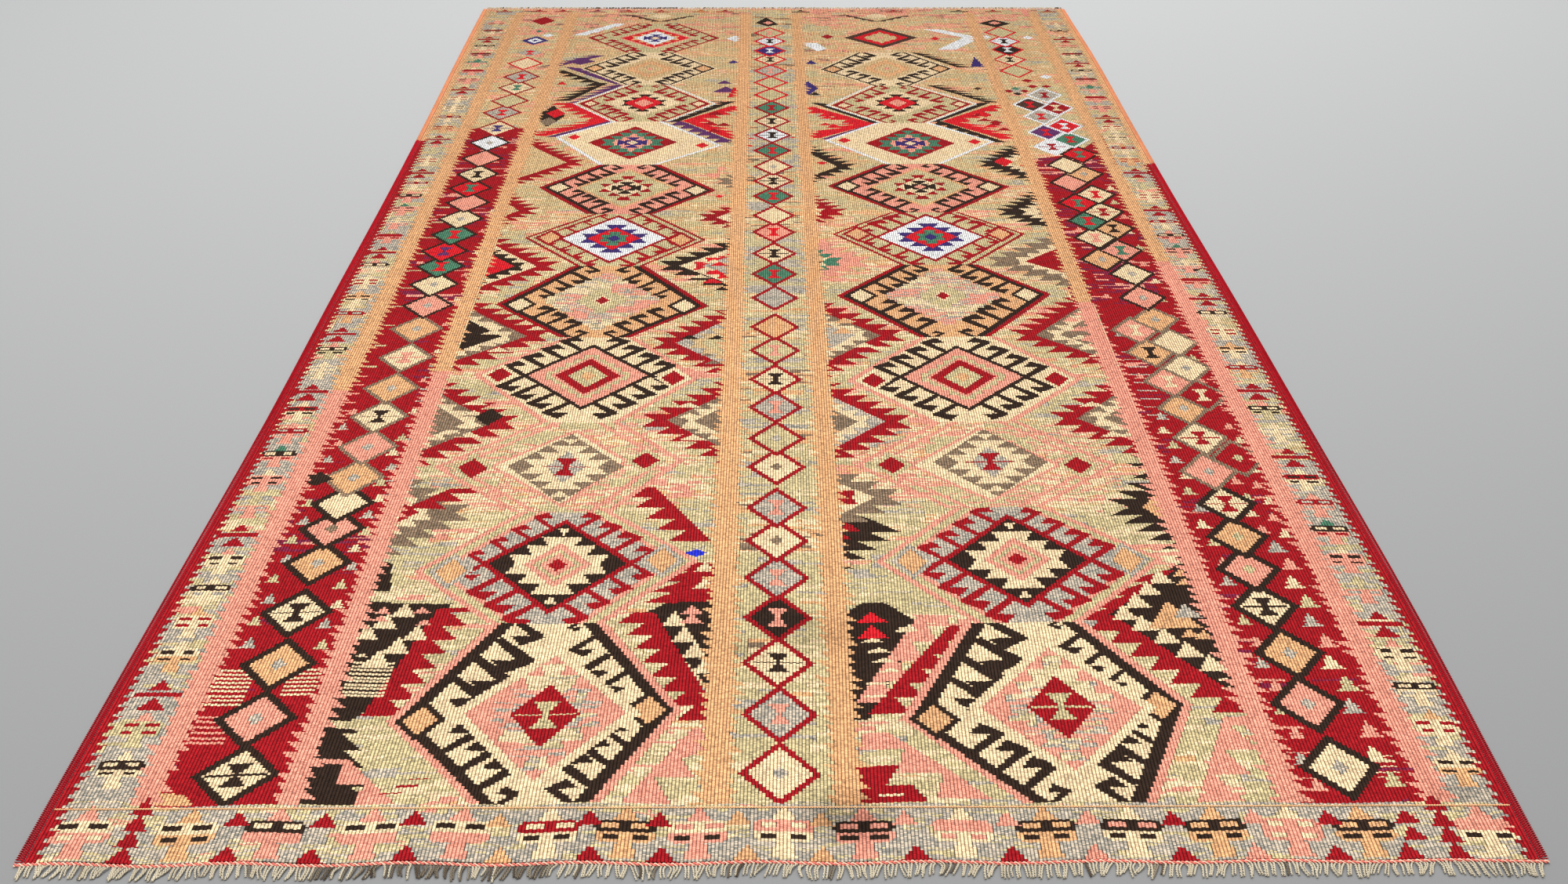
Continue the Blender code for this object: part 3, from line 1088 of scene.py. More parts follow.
# toothed bars: lower end, upper end, width, yarn, tooth, side of the teeth (-1 left, 1 right) and pitch
ARMS = """
.340 .262 .396 .490 .022 crimson .032 1 .031
.766 .250 .668 .478 .024 crimson .034 -1 .029
.700 .500 .735 .600 .016 crimson .030 -1 .026
.952 .285 1.044 .470 .016 coral .034 1 .042
.966 .262 1.084 .448 .016 crimson .036 1 .030
1.438 .262 1.290 .470 .022 crimson .040 -1 .029
1.272 .458 1.396 .575 .014 crimson .030 -1 .030
.668 .100 .746 .235 .010 coral .048 1 .045
1.092 .105 .975 .225 .012 coral .056 -1 .045
1.338 .100 1.404 .252 .012 coral .044 1 .045
.350 .100 .304 .235 .010 black .022 1 .032
.396 .100 .326 .180 .012 coral .034 -1 .036
.742 .655 .650 .805 .020 crimson .044 -1 .030
.300 .745 .360 .805 .018 crimson .044 1 .022
.290 2.395 .440 2.508 .030 red .046 -1 .024
.318 2.390 .452 2.500 .024 purple .040 1 .022
.440 2.505 .335 2.640 .030 red .038 -1 .024
.458 2.505 .352 2.645 .016 purple .034 1 .024
.745 2.350 .612 2.500 .018 purple .036 -1 .024
.755 2.372 .640 2.500 .030 red .040 1 .024
.606 2.498 .740 2.650 .016 black .036 -1 .022
.632 2.498 .752 2.615 .032 red .044 1 .024
.930 2.380 1.072 2.490 .036 red .048 -1 .024
.962 2.372 1.092 2.485 .024 purple .040 1 .022
1.085 2.488 .940 2.640 .014 black .036 1 .022
1.062 2.488 .922 2.610 .032 red .044 -1 .024
1.375 2.350 1.238 2.500 .016 black .036 -1 .024
1.388 2.372 1.262 2.500 .030 red .040 1 .024
1.232 2.500 1.372 2.640 .016 black .036 -1 .024
1.260 2.500 1.392 2.620 .030 red .042 1 .024
.445 2.790 .300 2.935 .018 purple .044 1 .024
.412 2.780 .290 2.905 .012 black .042 -1 .024
.270 2.940 .385 3.040 .014 purple .044 -1 .022
.366 2.640 .452 2.785 .012 purple .036 -1 .024
.328 2.655 .412 2.800 .012 black .034 -1 .024
1.372 2.640 1.235 2.780 .010 black .040 1 .022
1.330 2.930 1.215 3.065 .010 black .036 1 .022
"""
# runs of little pennants: x, y, step across, step along, number, half, height, yarn
PENNANTS = """
.326 .362 .020 .028 3 .018 .036 cream
.300 .418 .020 .026 3 .018 .034 cream
.312 .478 .052 .002 2 .012 .014 coral
.312 .460 .060 -.008 2 .012 .014 coral
.304 .380 .010 -.014 2 .010 .008 cream
.752 .345 -.015 .034 4 .017 .036 cream
.730 .455 0 .020 2 .016 .022 coral
.752 .350 0 .024 2 .010 .008 cream
.744 .535 0 .042 2 .016 .026 cream
.972 .410 .006 -.022 4 .016 .010 cream
1.012 .430 .010 .004 2 .012 .014 cream
.972 .418 0 0 1 .022 .030 red
.972 .454 0 0 1 .022 .024 red
1.408 .345 -.024 .030 4 .020 .036 cream
1.315 .460 .022 .028 4 .018 .036 cream
1.378 .440 0 0 1 .036 .062 peach
1.400 .462 0 0 1 .020 .034 heather
1.395 .418 .018 -.004 2 .014 .020 peach
1.412 .540 0 .022 2 .012 .018 peach
1.418 .325 0 -.018 2 .010 .007 cream
.345 1.070 .002 -.036 4 .022 .018 cream
.322 .985 .008 -.022 2 .018 .014 taupe
.325 1.370 .010 -.034 4 .022 .018 cream
.700 1.060 .004 -.036 4 .022 .018 cream
.690 1.315 .050 0 2 .020 .018 black
.725 1.250 .010 -.030 2 .016 .012 taupe
.735 1.690 -.012 -.036 4 .020 .018 cream
.735 1.640 -.006 -.040 3 .020 .022 red
.972 1.385 .010 -.034 4 .022 .018 cream
.965 1.340 .004 .040 2 .018 .026 peach
1.380 1.345 .012 -.034 4 .024 .018 cream
1.385 1.385 .010 -.040 3 .018 .022 coral
1.370 1.060 .006 -.034 4 .022 .018 cream
.300 2.785 0 .022 1 .014 .028 red
.700 2.420 .022 .045 2 .018 .026 crimson
.690 2.475 .026 .040 1 .020 .022 crimson
1.350 2.500 .020 -.034 3 .022 .022 crimson
.960 2.420 .006 .050 3 .020 .020 red
"""
# single lozenges and triangles: shape, x, y, half, tall, yarn
SPOTS = """
lozenge .375 1.030 .024 .030 black
lozenge .300 2.540 .036 .080 black
lozenge .312 2.560 .024 .034 red
lozenge .300 2.500 .022 .030 taupe
lozenge .730 .625 .016 .010 blue
lozenge .375 .862 .022 .028 crimson
lozenge .735 3.195 .024 .030 white
triangle .720 2.720 .034 .050 purple
triangle .742 2.680 .016 .100 red
triangle .715 2.790 .020 .030 purple
lozenge .928 2.755 .026 .060 navy
triangle .945 2.700 .014 .026 black
triangle 1.378 2.935 .018 .090 navy
triangle .700 2.545 .020 .030 crimson
triangle .985 2.455 .018 .028 red
triangle 1.360 2.455 .020 .024 red
triangle 1.340 2.535 .022 .024 crimson
lozenge .330 2.985 .040 .030 purple
triangle .735 2.965 .016 .030 navy
triangle .940 2.960 .016 .036 navy
lozenge 1.360 2.220 .022 .030 red
lozenge .725 2.180 .012 .012 coral
lozenge .990 3.215 .018 .022 crimson
lozenge 1.288 3.195 .014 .016 red
lozenge .735 1.955 .010 .006 coral
lozenge .725 2.010 .010 .010 red
lozenge .950 2.215 .014 .010 red
lozenge 1.358 2.752 .012 .012 brown
lozenge 1.355 2.545 .018 .016 red
lozenge 1.375 2.490 .018 .016 crimson
lozenge .785 2.325 .012 .008 red
lozenge 1.455 2.735 .022 .022 heather
lozenge 1.435 2.732 .012 .014 crimson
lozenge 1.475 2.732 .012 .014 crimson
lozenge 1.455 2.752 .012 .012 green
lozenge 1.455 2.710 .012 .012 black
lozenge 1.500 2.770 .014 .016 crimson
lozenge 1.535 2.770 .012 .012 crimson
lozenge 1.492 2.818 .016 .014 crimson
lozenge .185 3.370 .034 .042 crimson
lozenge .185 3.265 .030 .034 coral
lozenge .185 3.175 .038 .042 navy
lozenge .185 3.060 .034 .034 heather
lozenge .185 3.175 .021 .026 white
lozenge .185 3.175 .008 .010 navy
triangle .185 3.044 .014 .016 red
lozenge .185 3.072 .014 .012 red
lozenge .185 3.265 .010 .014 green
lozenge 1.470 3.345 .046 .040 black
lozenge 1.470 3.350 .018 .016 coral
lozenge 1.655 1.630 .026 .026 black
lozenge .140 .832 .026 .022 black
"""


# How far teeth reach and how far apart they are, first for the outermost layer and then for those inside it
NEAR_TEETH = ((0.046, 0.023), (0.030, 0.020))
FAR_TEETH = ((0.038, 0.019), (0.028, 0.018))
# How broad the solid part of the outermost layer is, and of those inside it
SPINES = (0.020, 0.010)


SMALL_TEETH_FROM = 1.75         # where the far teeth take over
TOOTH_ROOM = 0.8                # how much of its teeth a layer draws back to make room for them
LEAST_LAYER = 0.05              # no layer is less than this part of its filler


def filler(loom, base, tip, y, down, up, low, high, *layers):
    """One half lozenge in layers, each inside the one before."""
    reach = edge = abs(tip - base)
    clip = (base, ALL[1], low, high) if tip > base else (ALL[0], base, low, high)
    teeth = NEAR_TEETH if y < SMALL_TEETH_FROM else FAR_TEETH
    for index, layer in enumerate(layers):
        tooth, pitch = teeth[index > 0]
        if not layer.endswith("+"):
            tooth = 0
        edge -= tooth * TOOTH_ROOM
        share = max(LEAST_LAYER, edge / reach)
        room = (reach * share, reach * share, down * share, up * share)
        loom.lozenge((base, y), room, layer.rstrip("+"), tooth, pitch, clip)
        edge -= SPINES[index > 0]


def fillers(loom):
    """All that stands between the medallions and the stripes."""
    for row in rows_of(FILLERS):
        filler(loom, *row)
    for yarn, *corners in rows_of(WEDGES):
        loom.figure(list(zip(corners[::2], corners[1::2])), yarn)
    for x0, y0, x1, y1, width, yarn, tooth, side, pitch in rows_of(ARMS):
        loom.slant((x0, y0), (x1, y1), width, yarn, tooth, side, pitch)
    for x, y, across, along, number, half, height, yarn in rows_of(PENNANTS):
        for k in range(int(number)):
            triangle(loom, x + k * across, y + k * along, half, height, yarn)


def spots(loom):
    """The single lozenges and triangles."""
    for shape, x, y, half, tall, yarn in rows_of(SPOTS):
        if shape == "lozenge":
            ring(loom, (x, y), yarn, half, tall)
        else:
            triangle(loom, x, y, half, tall, yarn)


# Fine lines in the ground beside the first medallions: x, y, half, yarn, thickness
GROUND_LINES = """
.395 .117 .013 crimson .003
.409 .129 .013 crimson .003
.423 .141 .013 crimson .003
.975 .322 .016 cream .004
.968 .296 .016 cream .004
1.330 .117 .016 cream .004
1.392 .117 .016 cream .004
.978 .112 .016 cream .004
"""


def ground_lines(loom):
    """The fine lines in the ground."""
    for x, y, half, yarn, thick in rows_of(GROUND_LINES):
        dash(loom, x, y, half, yarn, thick)


# the crimson fields' pennants: x, first y, step, number, half, and their yarns in turn
FIELD_PENNANTS = """
1.567 .122 .0455 12 .016 sage cream coral heather
1.553 .672 .046 7 .012 coral cream sage
1.583 .660 .046 8 .012 cream coral
1.476 .118 .047 11 .012 coral heather coral sage
1.474 .640 .047 9 .013 sage cream heather
1.571 1.062 .082 13 .013 cream coral sage
1.466 1.160 .164 6 .011 coral heather
.243 .395 .046 13 .012 sage heather cream
.147 .402 .050 8 .012 heather sage
.146 .830 .052 5 .011 coral heather
.246 1.040 .110 9 .009 cream coral
"""
# rungs and flecks there: x, first y, step, number, half, thickness and yarn
FIELD_DASHES = """
.150 .285 .0085 9 .025 .0042 cream
.240 .300 .0085 7 .022 .0042 cream
.150 .210 .0100 6 .022 .0042 coral
.322 .300 .0075 10 .028 .0042 cream
.134 .770 .031 14 .012 .0042 coral
.252 .780 .043 12 .010 .0050 heather
.143 1.210 .082 10 .012 .0050 sage
1.476 .140 .047 6 .017 .0030 coral
1.470 1.030 .029 9 .016 .0040 heather
1.588 1.045 .037 8 .009 .0040 coral
1.570 .140 .0095 5 .015 .0030 cream
"""


FIELD_CORNER = ((0.122, 0.10), (0.17, 0.10), (0.155, 0.118), (0.122, 0.122))
# A pennant is a triangle with a narrower one on top; they stand by turns to the left and to the right
PENNANT_SWAY, PENNANT_TALL = 0.25, 1.2
PENNANT_PARTS = ((0.0, 1.0), (0.80, 0.62))


def field_figures(loom):
    """Little rungs and pennants in the crimson fields."""
    for x, y, step, number, half, thick, yarn in rows_of(FIELD_DASHES):
        for k in range(int(number)):
            dash(loom, x, y + step * k, half, yarn, thick)
    loom.figure(FIELD_CORNER, "peach")
    for x, y, step, number, half, *names in rows_of(FIELD_PENNANTS):
        for k in range(int(number)):
            across = x + half * PENNANT_SWAY * (-1) ** k
            for up, share in PENNANT_PARTS:
                foot = y + step * k + half * up
                triangle(loom, across, foot, half * share, half * PENNANT_TALL, names[k % len(names)])


# ---- grounds, stripes and borders
# combed stripes: yarn, left and right edge at the near end, the middle and the far end, then from and to
STRIPES = rows_of("""
coral .100 .122 .100 .122 .100 .120 .09 1.12
peach .100 .122 .100 .122 .098 .116 1.12 3.46
coral .270 .290 .257 .277 .252 .272 .09 1.19
peach .270 .290 .257 .277 .252 .272 1.19 3.46
peach .760 .787 .756 .780 .750 .770 .09 3.45
peach .915 .940 .910 .930 .898 .914 .09 3.45
coral 1.432 1.453 1.412 1.434 1.397 1.416 .09 1.47
peach 1.432 1.453 1.412 1.434 1.397 1.416 1.47 3.46
coral 1.602 1.622 1.600 1.622 1.578 1.596 .09 1.66
peach 1.602 1.622 1.600 1.620 1.578 1.596 1.66 3.46
""")
# mixes of wefts in the grounds: the yarns, then along the rug and each one's share there
GROUND_MIX = rows_of("""
heather sage straw cream peach coral taupe
.0 .08 .62 .00 .26 .01 .03 .00
.6 .08 .60 .00 .24 .02 .06 .00
1.1 .05 .50 .06 .22 .06 .11 .00
1.8 .02 .32 .26 .17 .14 .09 .00
2.2 .02 .20 .48 .09 .15 .06 .00
3.1 .02 .17 .51 .07 .17 .05 .01
3.3 .02 .18 .34 .06 .16 .22 .02
3.5 .02 .16 .22 .04 .18 .32 .06
""")
CENTRE_MIX = rows_of("""
heather sage cream peach taupe
.0 .10 .70 .18 .02 .00
1.1 .16 .56 .14 .11 .03
2.2 .22 .50 .07 .15 .06
3.4 .20 .50 .06 .17 .07
""")
CORE_MIX = rows_of("""
coral heather sage cream
.0 .28 .30 .14 .28
3.4 .40 .28 .12 .20
""")
BAND_MIX = rows_of("""
sage coral cream peach
.0 .44 .28 .22 .06
3.4 .44 .28 .22 .06
""")
BORDER_MIX = rows_of("""
heather sage straw cream coral
.0 .76 .20 .00 .03 .01
1.5 .62 .26 .04 .05 .03
2.5 .40 .28 .20 .06 .06
3.5 .20 .26 .36 .06 .12
""")
FIELD_MIX = rows_of("""
crimson plum coral
.0 .97 .03 .00
1.3 .94 .05 .01
1.7 .80 .15 .05
2.45 .72 .18 .10
""")
BORDER_FROM = 1.61
LEFT_FIELD_TO = 2.45
RIGHT_FIELD_TO = 2.22
WHOLE = (-0.1, 1.8, 0, 3.5)     # all of the weaving and a little more, as x from, x to, y from, y to
# The far end of the right crimson field, and what fills up its inner side
FIELD_TIP = ((1.43, 2.20), (1.615, 2.20), (1.615, 2.40), (1.53, 2.27), (1.43, 2.24))
FIELD_SIDE = ((1.40, 1.45), (1.45, 1.45), (1.45, 2.2), (1.42, 2.2))
STRIPE_STATIONS = (0, 1.4, 3.5)     # where the table of stripes gives their edges
BAND, BAND_TOOTH = 0.007, 0.013     # the solid part of the band beside a side cord, and its teeth


def grounds(loom):
    """The mixed ground, the middle strip, the side borders' ground and the crimson fields."""
    loom.mottle(WHOLE, GROUND_MIX, None, 0.7)
    loom.mottle((-0.1, 1.8, 3.15, 3.5), GROUND_MIX, None, 0.45)
    loom.mottle((0.780, 0.920, 0.1, 3.45), CENTRE_MIX)
    loom.mottle((-0.1, 0.112, 0, 3.5), BORDER_MIX)
    loom.mottle((BORDER_FROM, 1.8, 0, 3.5), BORDER_MIX)
    loom.box(0.111, 0.28, 0.09, LEFT_FIELD_TO, "crimson")
    loom.box(1.44, 1.612, 0.09, RIGHT_FIELD_TO, "crimson")
    loom.figure(FIELD_TIP, "crimson")
    loom.figure(FIELD_SIDE, "crimson")
    loom.mottle(WHOLE, FIELD_MIX, "crimson")


def stripes(loom):
    """The combed stripes that run along the rug."""
    for k, (yarn, *edges, y0, y1) in enumerate(STRIPES):
        path = [(y, *edges[2 * n:2 * n + 2]) for n, y in enumerate(STRIPE_STATIONS)]
        loom.stripe(path, yarn, y0, y1, k * COMB_SHIFT)


def selvedges(loom):
    """The band beside each side cord, toothed into the border."""
    saw = loom.y[:, None] / COMB_PITCH % 1
    band = loom.from_edge < BAND + BAND_TOOTH * saw
    left = loom.x < WOVEN_WIDTH / 2
    changed = loom.y[:, None] > np.where(left, LEFT_YARN_CHANGE, RIGHT_YARN_CHANGE)
    loom.yarn[band] = np.where(changed, YARN["peach"], YARN["crimson"])[band]


# The borders' little figure: a stem, a bar and an oval, each with two dashes, and a triangle on top
FACE_STEM = ((-0.015, 0.004), (0.015, 0.004), (0.009, 0.029), (-0.009, 0.029))
FACE_BAR = (
    (-0.034, 0.046), (0.034, 0.046), (0.034, 0.036), (0.027, 0.029), (-0.027, 0.029), (-0.034, 0.036),
)
FACE_OVAL = (
    (-0.036, 0.056), (-0.028, 0.066), (0.028, 0.066), (0.036, 0.056), (0.032, 0.046), (-0.032, 0.046),
)
FACE_TOP, FACE_TOP_HALF, FACE_TOP_TALL = 0.066, 0.015, 0.024
FACE_DASHES = ((0.0565, 0.010, 0.0085), (0.0380, 0.009, 0.0070))    # height, half and thickness
FACE_DASH_AT = 0.017


def face(loom, x, y, top, oval, oval_dash, bar, bar_dash, scale=1.0):
    """One of the borders' figures, in the yarns of its parts; "-" leaves the dashes out."""
    for shape, yarn in ((FACE_STEM, bar), (FACE_BAR, bar), (FACE_OVAL, oval)):
        loom.figure(shape, yarn, (x, y), (scale, scale))
    triangle(loom, x, y + FACE_TOP * scale, FACE_TOP_HALF * scale, FACE_TOP_TALL * scale, top)
    for yarn, (height, half, thick) in zip((oval_dash, bar_dash), FACE_DASHES):
        if yarn != "-":
            for side in (-FACE_DASH_AT, FACE_DASH_AT):
                dash(loom, x + side * scale, y + height * scale, half * scale, yarn, thick * scale)


# the near border's figures: x, triangle, oval, its dashes, bar and stem, and the bar's dashes
NEAR_BORDER = """
.056 coral cream black coral cream
.175 peach cream black peach black
.275 coral black cream coral -
.382 coral cream black coral -
.485 coral cream black coral -
.585 cream crimson cream cream black
.672 peach black peach peach black
.755 coral cream coral coral black
.852 cream coral cream cream black
.943 coral black coral coral black
1.055 cream coral - cream coral
1.150 peach black peach peach black
1.248 cream black coral cream black
1.343 peach black peach peach black
1.430 cream coral cream coral cream
1.512 peach black peach peach black
1.650 coral coral - cream black
"""
# the triangles between them: y, yarn, and the x of each
NEAR_TRIANGLES = """
.062 crimson .228 .328 .430 .630 .710 1.297 1.475 1.565
.062 peach .527 .800 .895
.062 coral .990 1.107 1.200 1.390
.006 crimson .115 .230 .325 .430 .635 .715 1.000 1.107 1.297 1.470 1.550
.006 peach .535 .810 .895
.006 coral 1.200 1.380
.034 crimson 1.565
"""
SIDE_BORDER_YARNS = (
    "cream coral crimson cream peach cream coral crimson sage cream green coral cream crimson".split()
)
# The side borders: their x at the near and the far end, the first figure, the step and the number
SIDE_BORDERS = ((0.064, 0.054), (1.657, 1.643))
SIDE_FIRST, SIDE_STEP, SIDE_NUMBER = 0.122, 0.074, 44
SIDE_SCALE = 0.80


def near_border(loom):
    """The border at the near end."""
    loom.mottle((-0.1, 1.8, 0, 0.098), BORDER_MIX, None, 0.4)
    for x, *colours in rows_of(NEAR_BORDER):
        face(loom, x, 0.005, *colours)
    for y, yarn, *places in rows_of(NEAR_TRIANGLES):
        for x in places:
            triangle(loom, x, y, 0.0155, 0.024, yarn)
    for x in (0.115, 1.605):
        for k in range(4):
            triangle(loom, x, 0.004 + 0.026 * k, 0.014, 0.030, "crimson")


def side_borders(loom):
    """The figures along both sides: a plain one in crimson, or else the border's figure, smaller."""
    for side, (near_x, far_x) in enumerate(SIDE_BORDERS):
        for step in range(SIDE_NUMBER):
            y = SIDE_FIRST + SIDE_STEP * step
            k = step + 3 * side
            x = near_x + (far_x - near_x) * y / WOVEN_LENGTH
            yarn = SIDE_BORDER_YARNS[k % len(SIDE_BORDER_YARNS)]
            other = SIDE_BORDER_YARNS[(k * 5 + 3) % len(SIDE_BORDER_YARNS)]
            brow = ("black", other, "crimson", yarn, other)[k % 5]
            eyes = ("black", "crimson", "heather")[k % 3]
            if yarn == "crimson":
                triangle(loom, x, y, 0.018, 0.026, yarn)
                loom.box(x - 0.030, x + 0.030, y + 0.026, y + 0.036, yarn)
                triangle(loom, x, y + 0.040, 0.014, 0.020, yarn)
            else:
                bar = other if other != "crimson" else yarn
                brow_eyes = "cream" if brow == "black" else eyes
                face(loom, x, y, yarn, brow, brow_eyes, bar, eyes, SIDE_SCALE)


# The far end's little figures: yarn, and the x of each
FAR_FIGURES = """
crimson .06 .16 .23 .42 .515 .70 1.19 1.48 1.64
plum .33
rust .63
brown .92 1.38
"""


def far_end(loom):
    """The far border: a bar with a triangle on it for each figure, and two coral bars across it."""
    for yarn, *places in rows_of(FAR_FIGURES):
        for x in places:
            loom.box(x - 0.024, x + 0.024, 3.462, 3.472, yarn)
            triangle(loom, x, 3.472, 0.012, 0.018, yarn)
    for x in (1.57, 1.69):
        loom.box(x - 0.008, x + 0.008, 3.42, 3.5, "coral")


WHITE_PATCH = ((0.915, 3.155), (0.96, 3.155), (0.985, 3.10), (0.96, 3.075))


def white_zones(loom):
    """Thick white accents in the far fields."""
    loom.slant((0.295, 3.225), (0.405, 3.345), 0.030, "white", 0.012)
    loom.slant((1.395, 3.20), (1.285, 3.285), 0.045, "white")
    loom.slant((1.31, 3.09), (1.395, 3.21), 0.050, "white")
    loom.figure(WHITE_PATCH, "white")
    for spot in ((1.43, 3.21), (1.545, 3.205), (0.215, 3.225), (1.545, 2.85)):
        ring(loom, spot, "white", 0.016, 0.018)


LAST_HEART = (1.138, 3.205)
LAST_RINGS = (
    ("brown", 0.102, 0.100), ("red", 0.076, 0.074), ("straw", 0.046, 0.046, 0.010, 0.018),
    ("coral", 0.012, 0.012),
)
# The roofs beyond both columns: where their ridges are, and how far each side runs out and up
ROOFS = ((0.518, 3.365), (1.137, 3.365))
ROOF_SIDES = ((LEFT, 0.088, 0.070), (RIGHT, 0.085, 0.060))
BLACK_PATCH = ((0.79, 3.35), (0.82, 3.41), (0.855, 3.335), (0.825, 3.315))


def far_medallions(loom):
    """The last right medallion, small and without hooks, and the roofs beyond both columns."""
    for row in LAST_RINGS:
        ring(loom, LAST_HEART, *row)
    for x, y in ROOFS:
        for side, out, up in ROOF_SIDES:
            loom.slant((x, y), (x + side * out, y + up), 0.012, "brown", 0.016, side, 0.016)
        ring(loom, (x, y + 0.060), "cream", 0.034, 0.026)
    loom.figure(BLACK_PATCH, "black")
    ring(loom, (0.826, 3.352), "coral", 0.014, 0.018)


def weave():
    """The whole chart, each thing over what is there already."""
    loom = Loom()
    grounds(loom)
    fillers(loom)
    ground_lines(loom)
    for k, frame in enumerate(FRAMES):
        medallion(loom, frame, STYLES[k % len(STYLES)])
    far_medallions(loom)
    field_figures(loom)
    chains(loom)
    spots(loom)
    white_zones(loom)
    stripes(loom)
    side_borders(loom)
    near_border(loom)
    far_end(loom)
    selvedges(loom)
    return loom


# ---- finishes
RIBS_A_FACE = 4
BEADS_A_FACE = 8
BEADS_A_WORD = 4
BASE = 64                       # a thread's number: its yarn, plus SLIT where a slit opens on its left
SLIT = 32
LOW_WORDS, HIGH_WORDS = "threads_low", "threads_high"
# How much of a bead shows its wool's second fibre: by each bead's luck, in slow drifts and by its fibres
BEAD_FLECK, DRIFT_FLECK, FIBRE_FLECK, LEAST_FLECK = 0.9, 0.9, 0.6, 0.85
# How the tone changes: from bead to bead, in streaks along the wefts, in clumps, and from rib to rib
MEAN_TONE, BEAD_TONE, STREAK_TONE, CLUMP_TONE, RIB_TONE = 1.24, 0.60, 0.30, 1.40, 0.16
WASH = 0.22                     # how much broad patches of the rug differ
FAR_PAINTED_SHADE = 0.15                # painted shade: the far end's wool is darkened this much, standing for the shadowed sides of the beads seen at a low angle
RIB_VALLEY_PAINTED_SHADE, BEAD_VALLEY_PAINTED_SHADE = 0.16, 0.42    # painted shade: how much light the wool keeps between ribs and between beads
SLIT_SHADOW_DEPTH, SLIT_WIDTH = 0.72, 0.22     # how dark the painted shadow in an open slit is, and how much of a rib it takes
FIBRE_RELIEF = 0.0004
# Darker patches on the cloth, from the near left corner: x, y, reach across and along, and depth
DarkPatch = namedtuple("DarkPatch", "x y across along depth")
DARK_PATCHES = (
    DarkPatch(0.925, 0.075, 0.045, 0.040, 0.45),
    DarkPatch(0.895, 0.430, 0.050, 0.040, 0.22),
    DarkPatch(0.800, 0.395, 0.020, 0.012, 0.25),
    DarkPatch(1.640, 0.110, 0.030, 0.020, 0.22),
    DarkPatch(0.400, 0.375, 0.014, 0.030, 0.20),
)


def thread_number(dye, rib, bead):
    """The chart's number for a rib and bead, read back from the two words that each face carries."""
    across = rib % RIBS_A_FACE
    along = bead % BEADS_A_FACE
    high = along.above(BEADS_A_WORD - 0.5)
    low_words, high_words = (
        dye.node("ShaderNodeAttribute", {"attribute_name": name, "attribute_type": "GEOMETRY"}, {})
        for name in (LOW_WORDS, HIGH_WORDS)
    )
    low = [*dye.parts(low_words.outputs["Vector"]), Reading(dye, low_words.outputs["Alpha"])]
    tall = [*dye.parts(high_words.outputs["Vector"]), Reading(dye, high_words.outputs["Alpha"])]
    word = 0.0
    for index in range(RIBS_A_FACE):
        chosen = low[index] * (1.0 - high) + tall[index] * high
        word = chosen * across.is_about(float(index)) + word
    place_in_word = along - high * BEADS_A_WORD
    return (word / float(BASE) ** place_in_word).floor() % BASE


def yarn_ramp(dye, index, tint_of):
    """A colour for each yarn on the chart, by its number as a part of SLIT."""
    stops = [(number / SLIT, tint_of(name)) for name, number in YARN.items()]
    return dye.node("ShaderNodeValToRGB", {"ramp": "CONSTANT", "stops": stops}, {0: index})


def patch_darkening(dye, spot, x, y):
    """How much of its light the wool keeps in the darker patches."""
    patchy = 0.4 + 1.2 * dye.noise(spot, 55.0, 3.0)
    kept = 1.0
    for dark_patch in DARK_PATCHES:
        across = (x - (dark_patch.x + CORNER_X)) / dark_patch.across
        along = (y - (dark_patch.y + CORNER_Y)) / dark_patch.along
        blot = (1.0 - (across * across + along * along) * 0.5).clamped()
        kept = (1.0 - dark_patch.depth * blot * patchy) * kept
    return kept


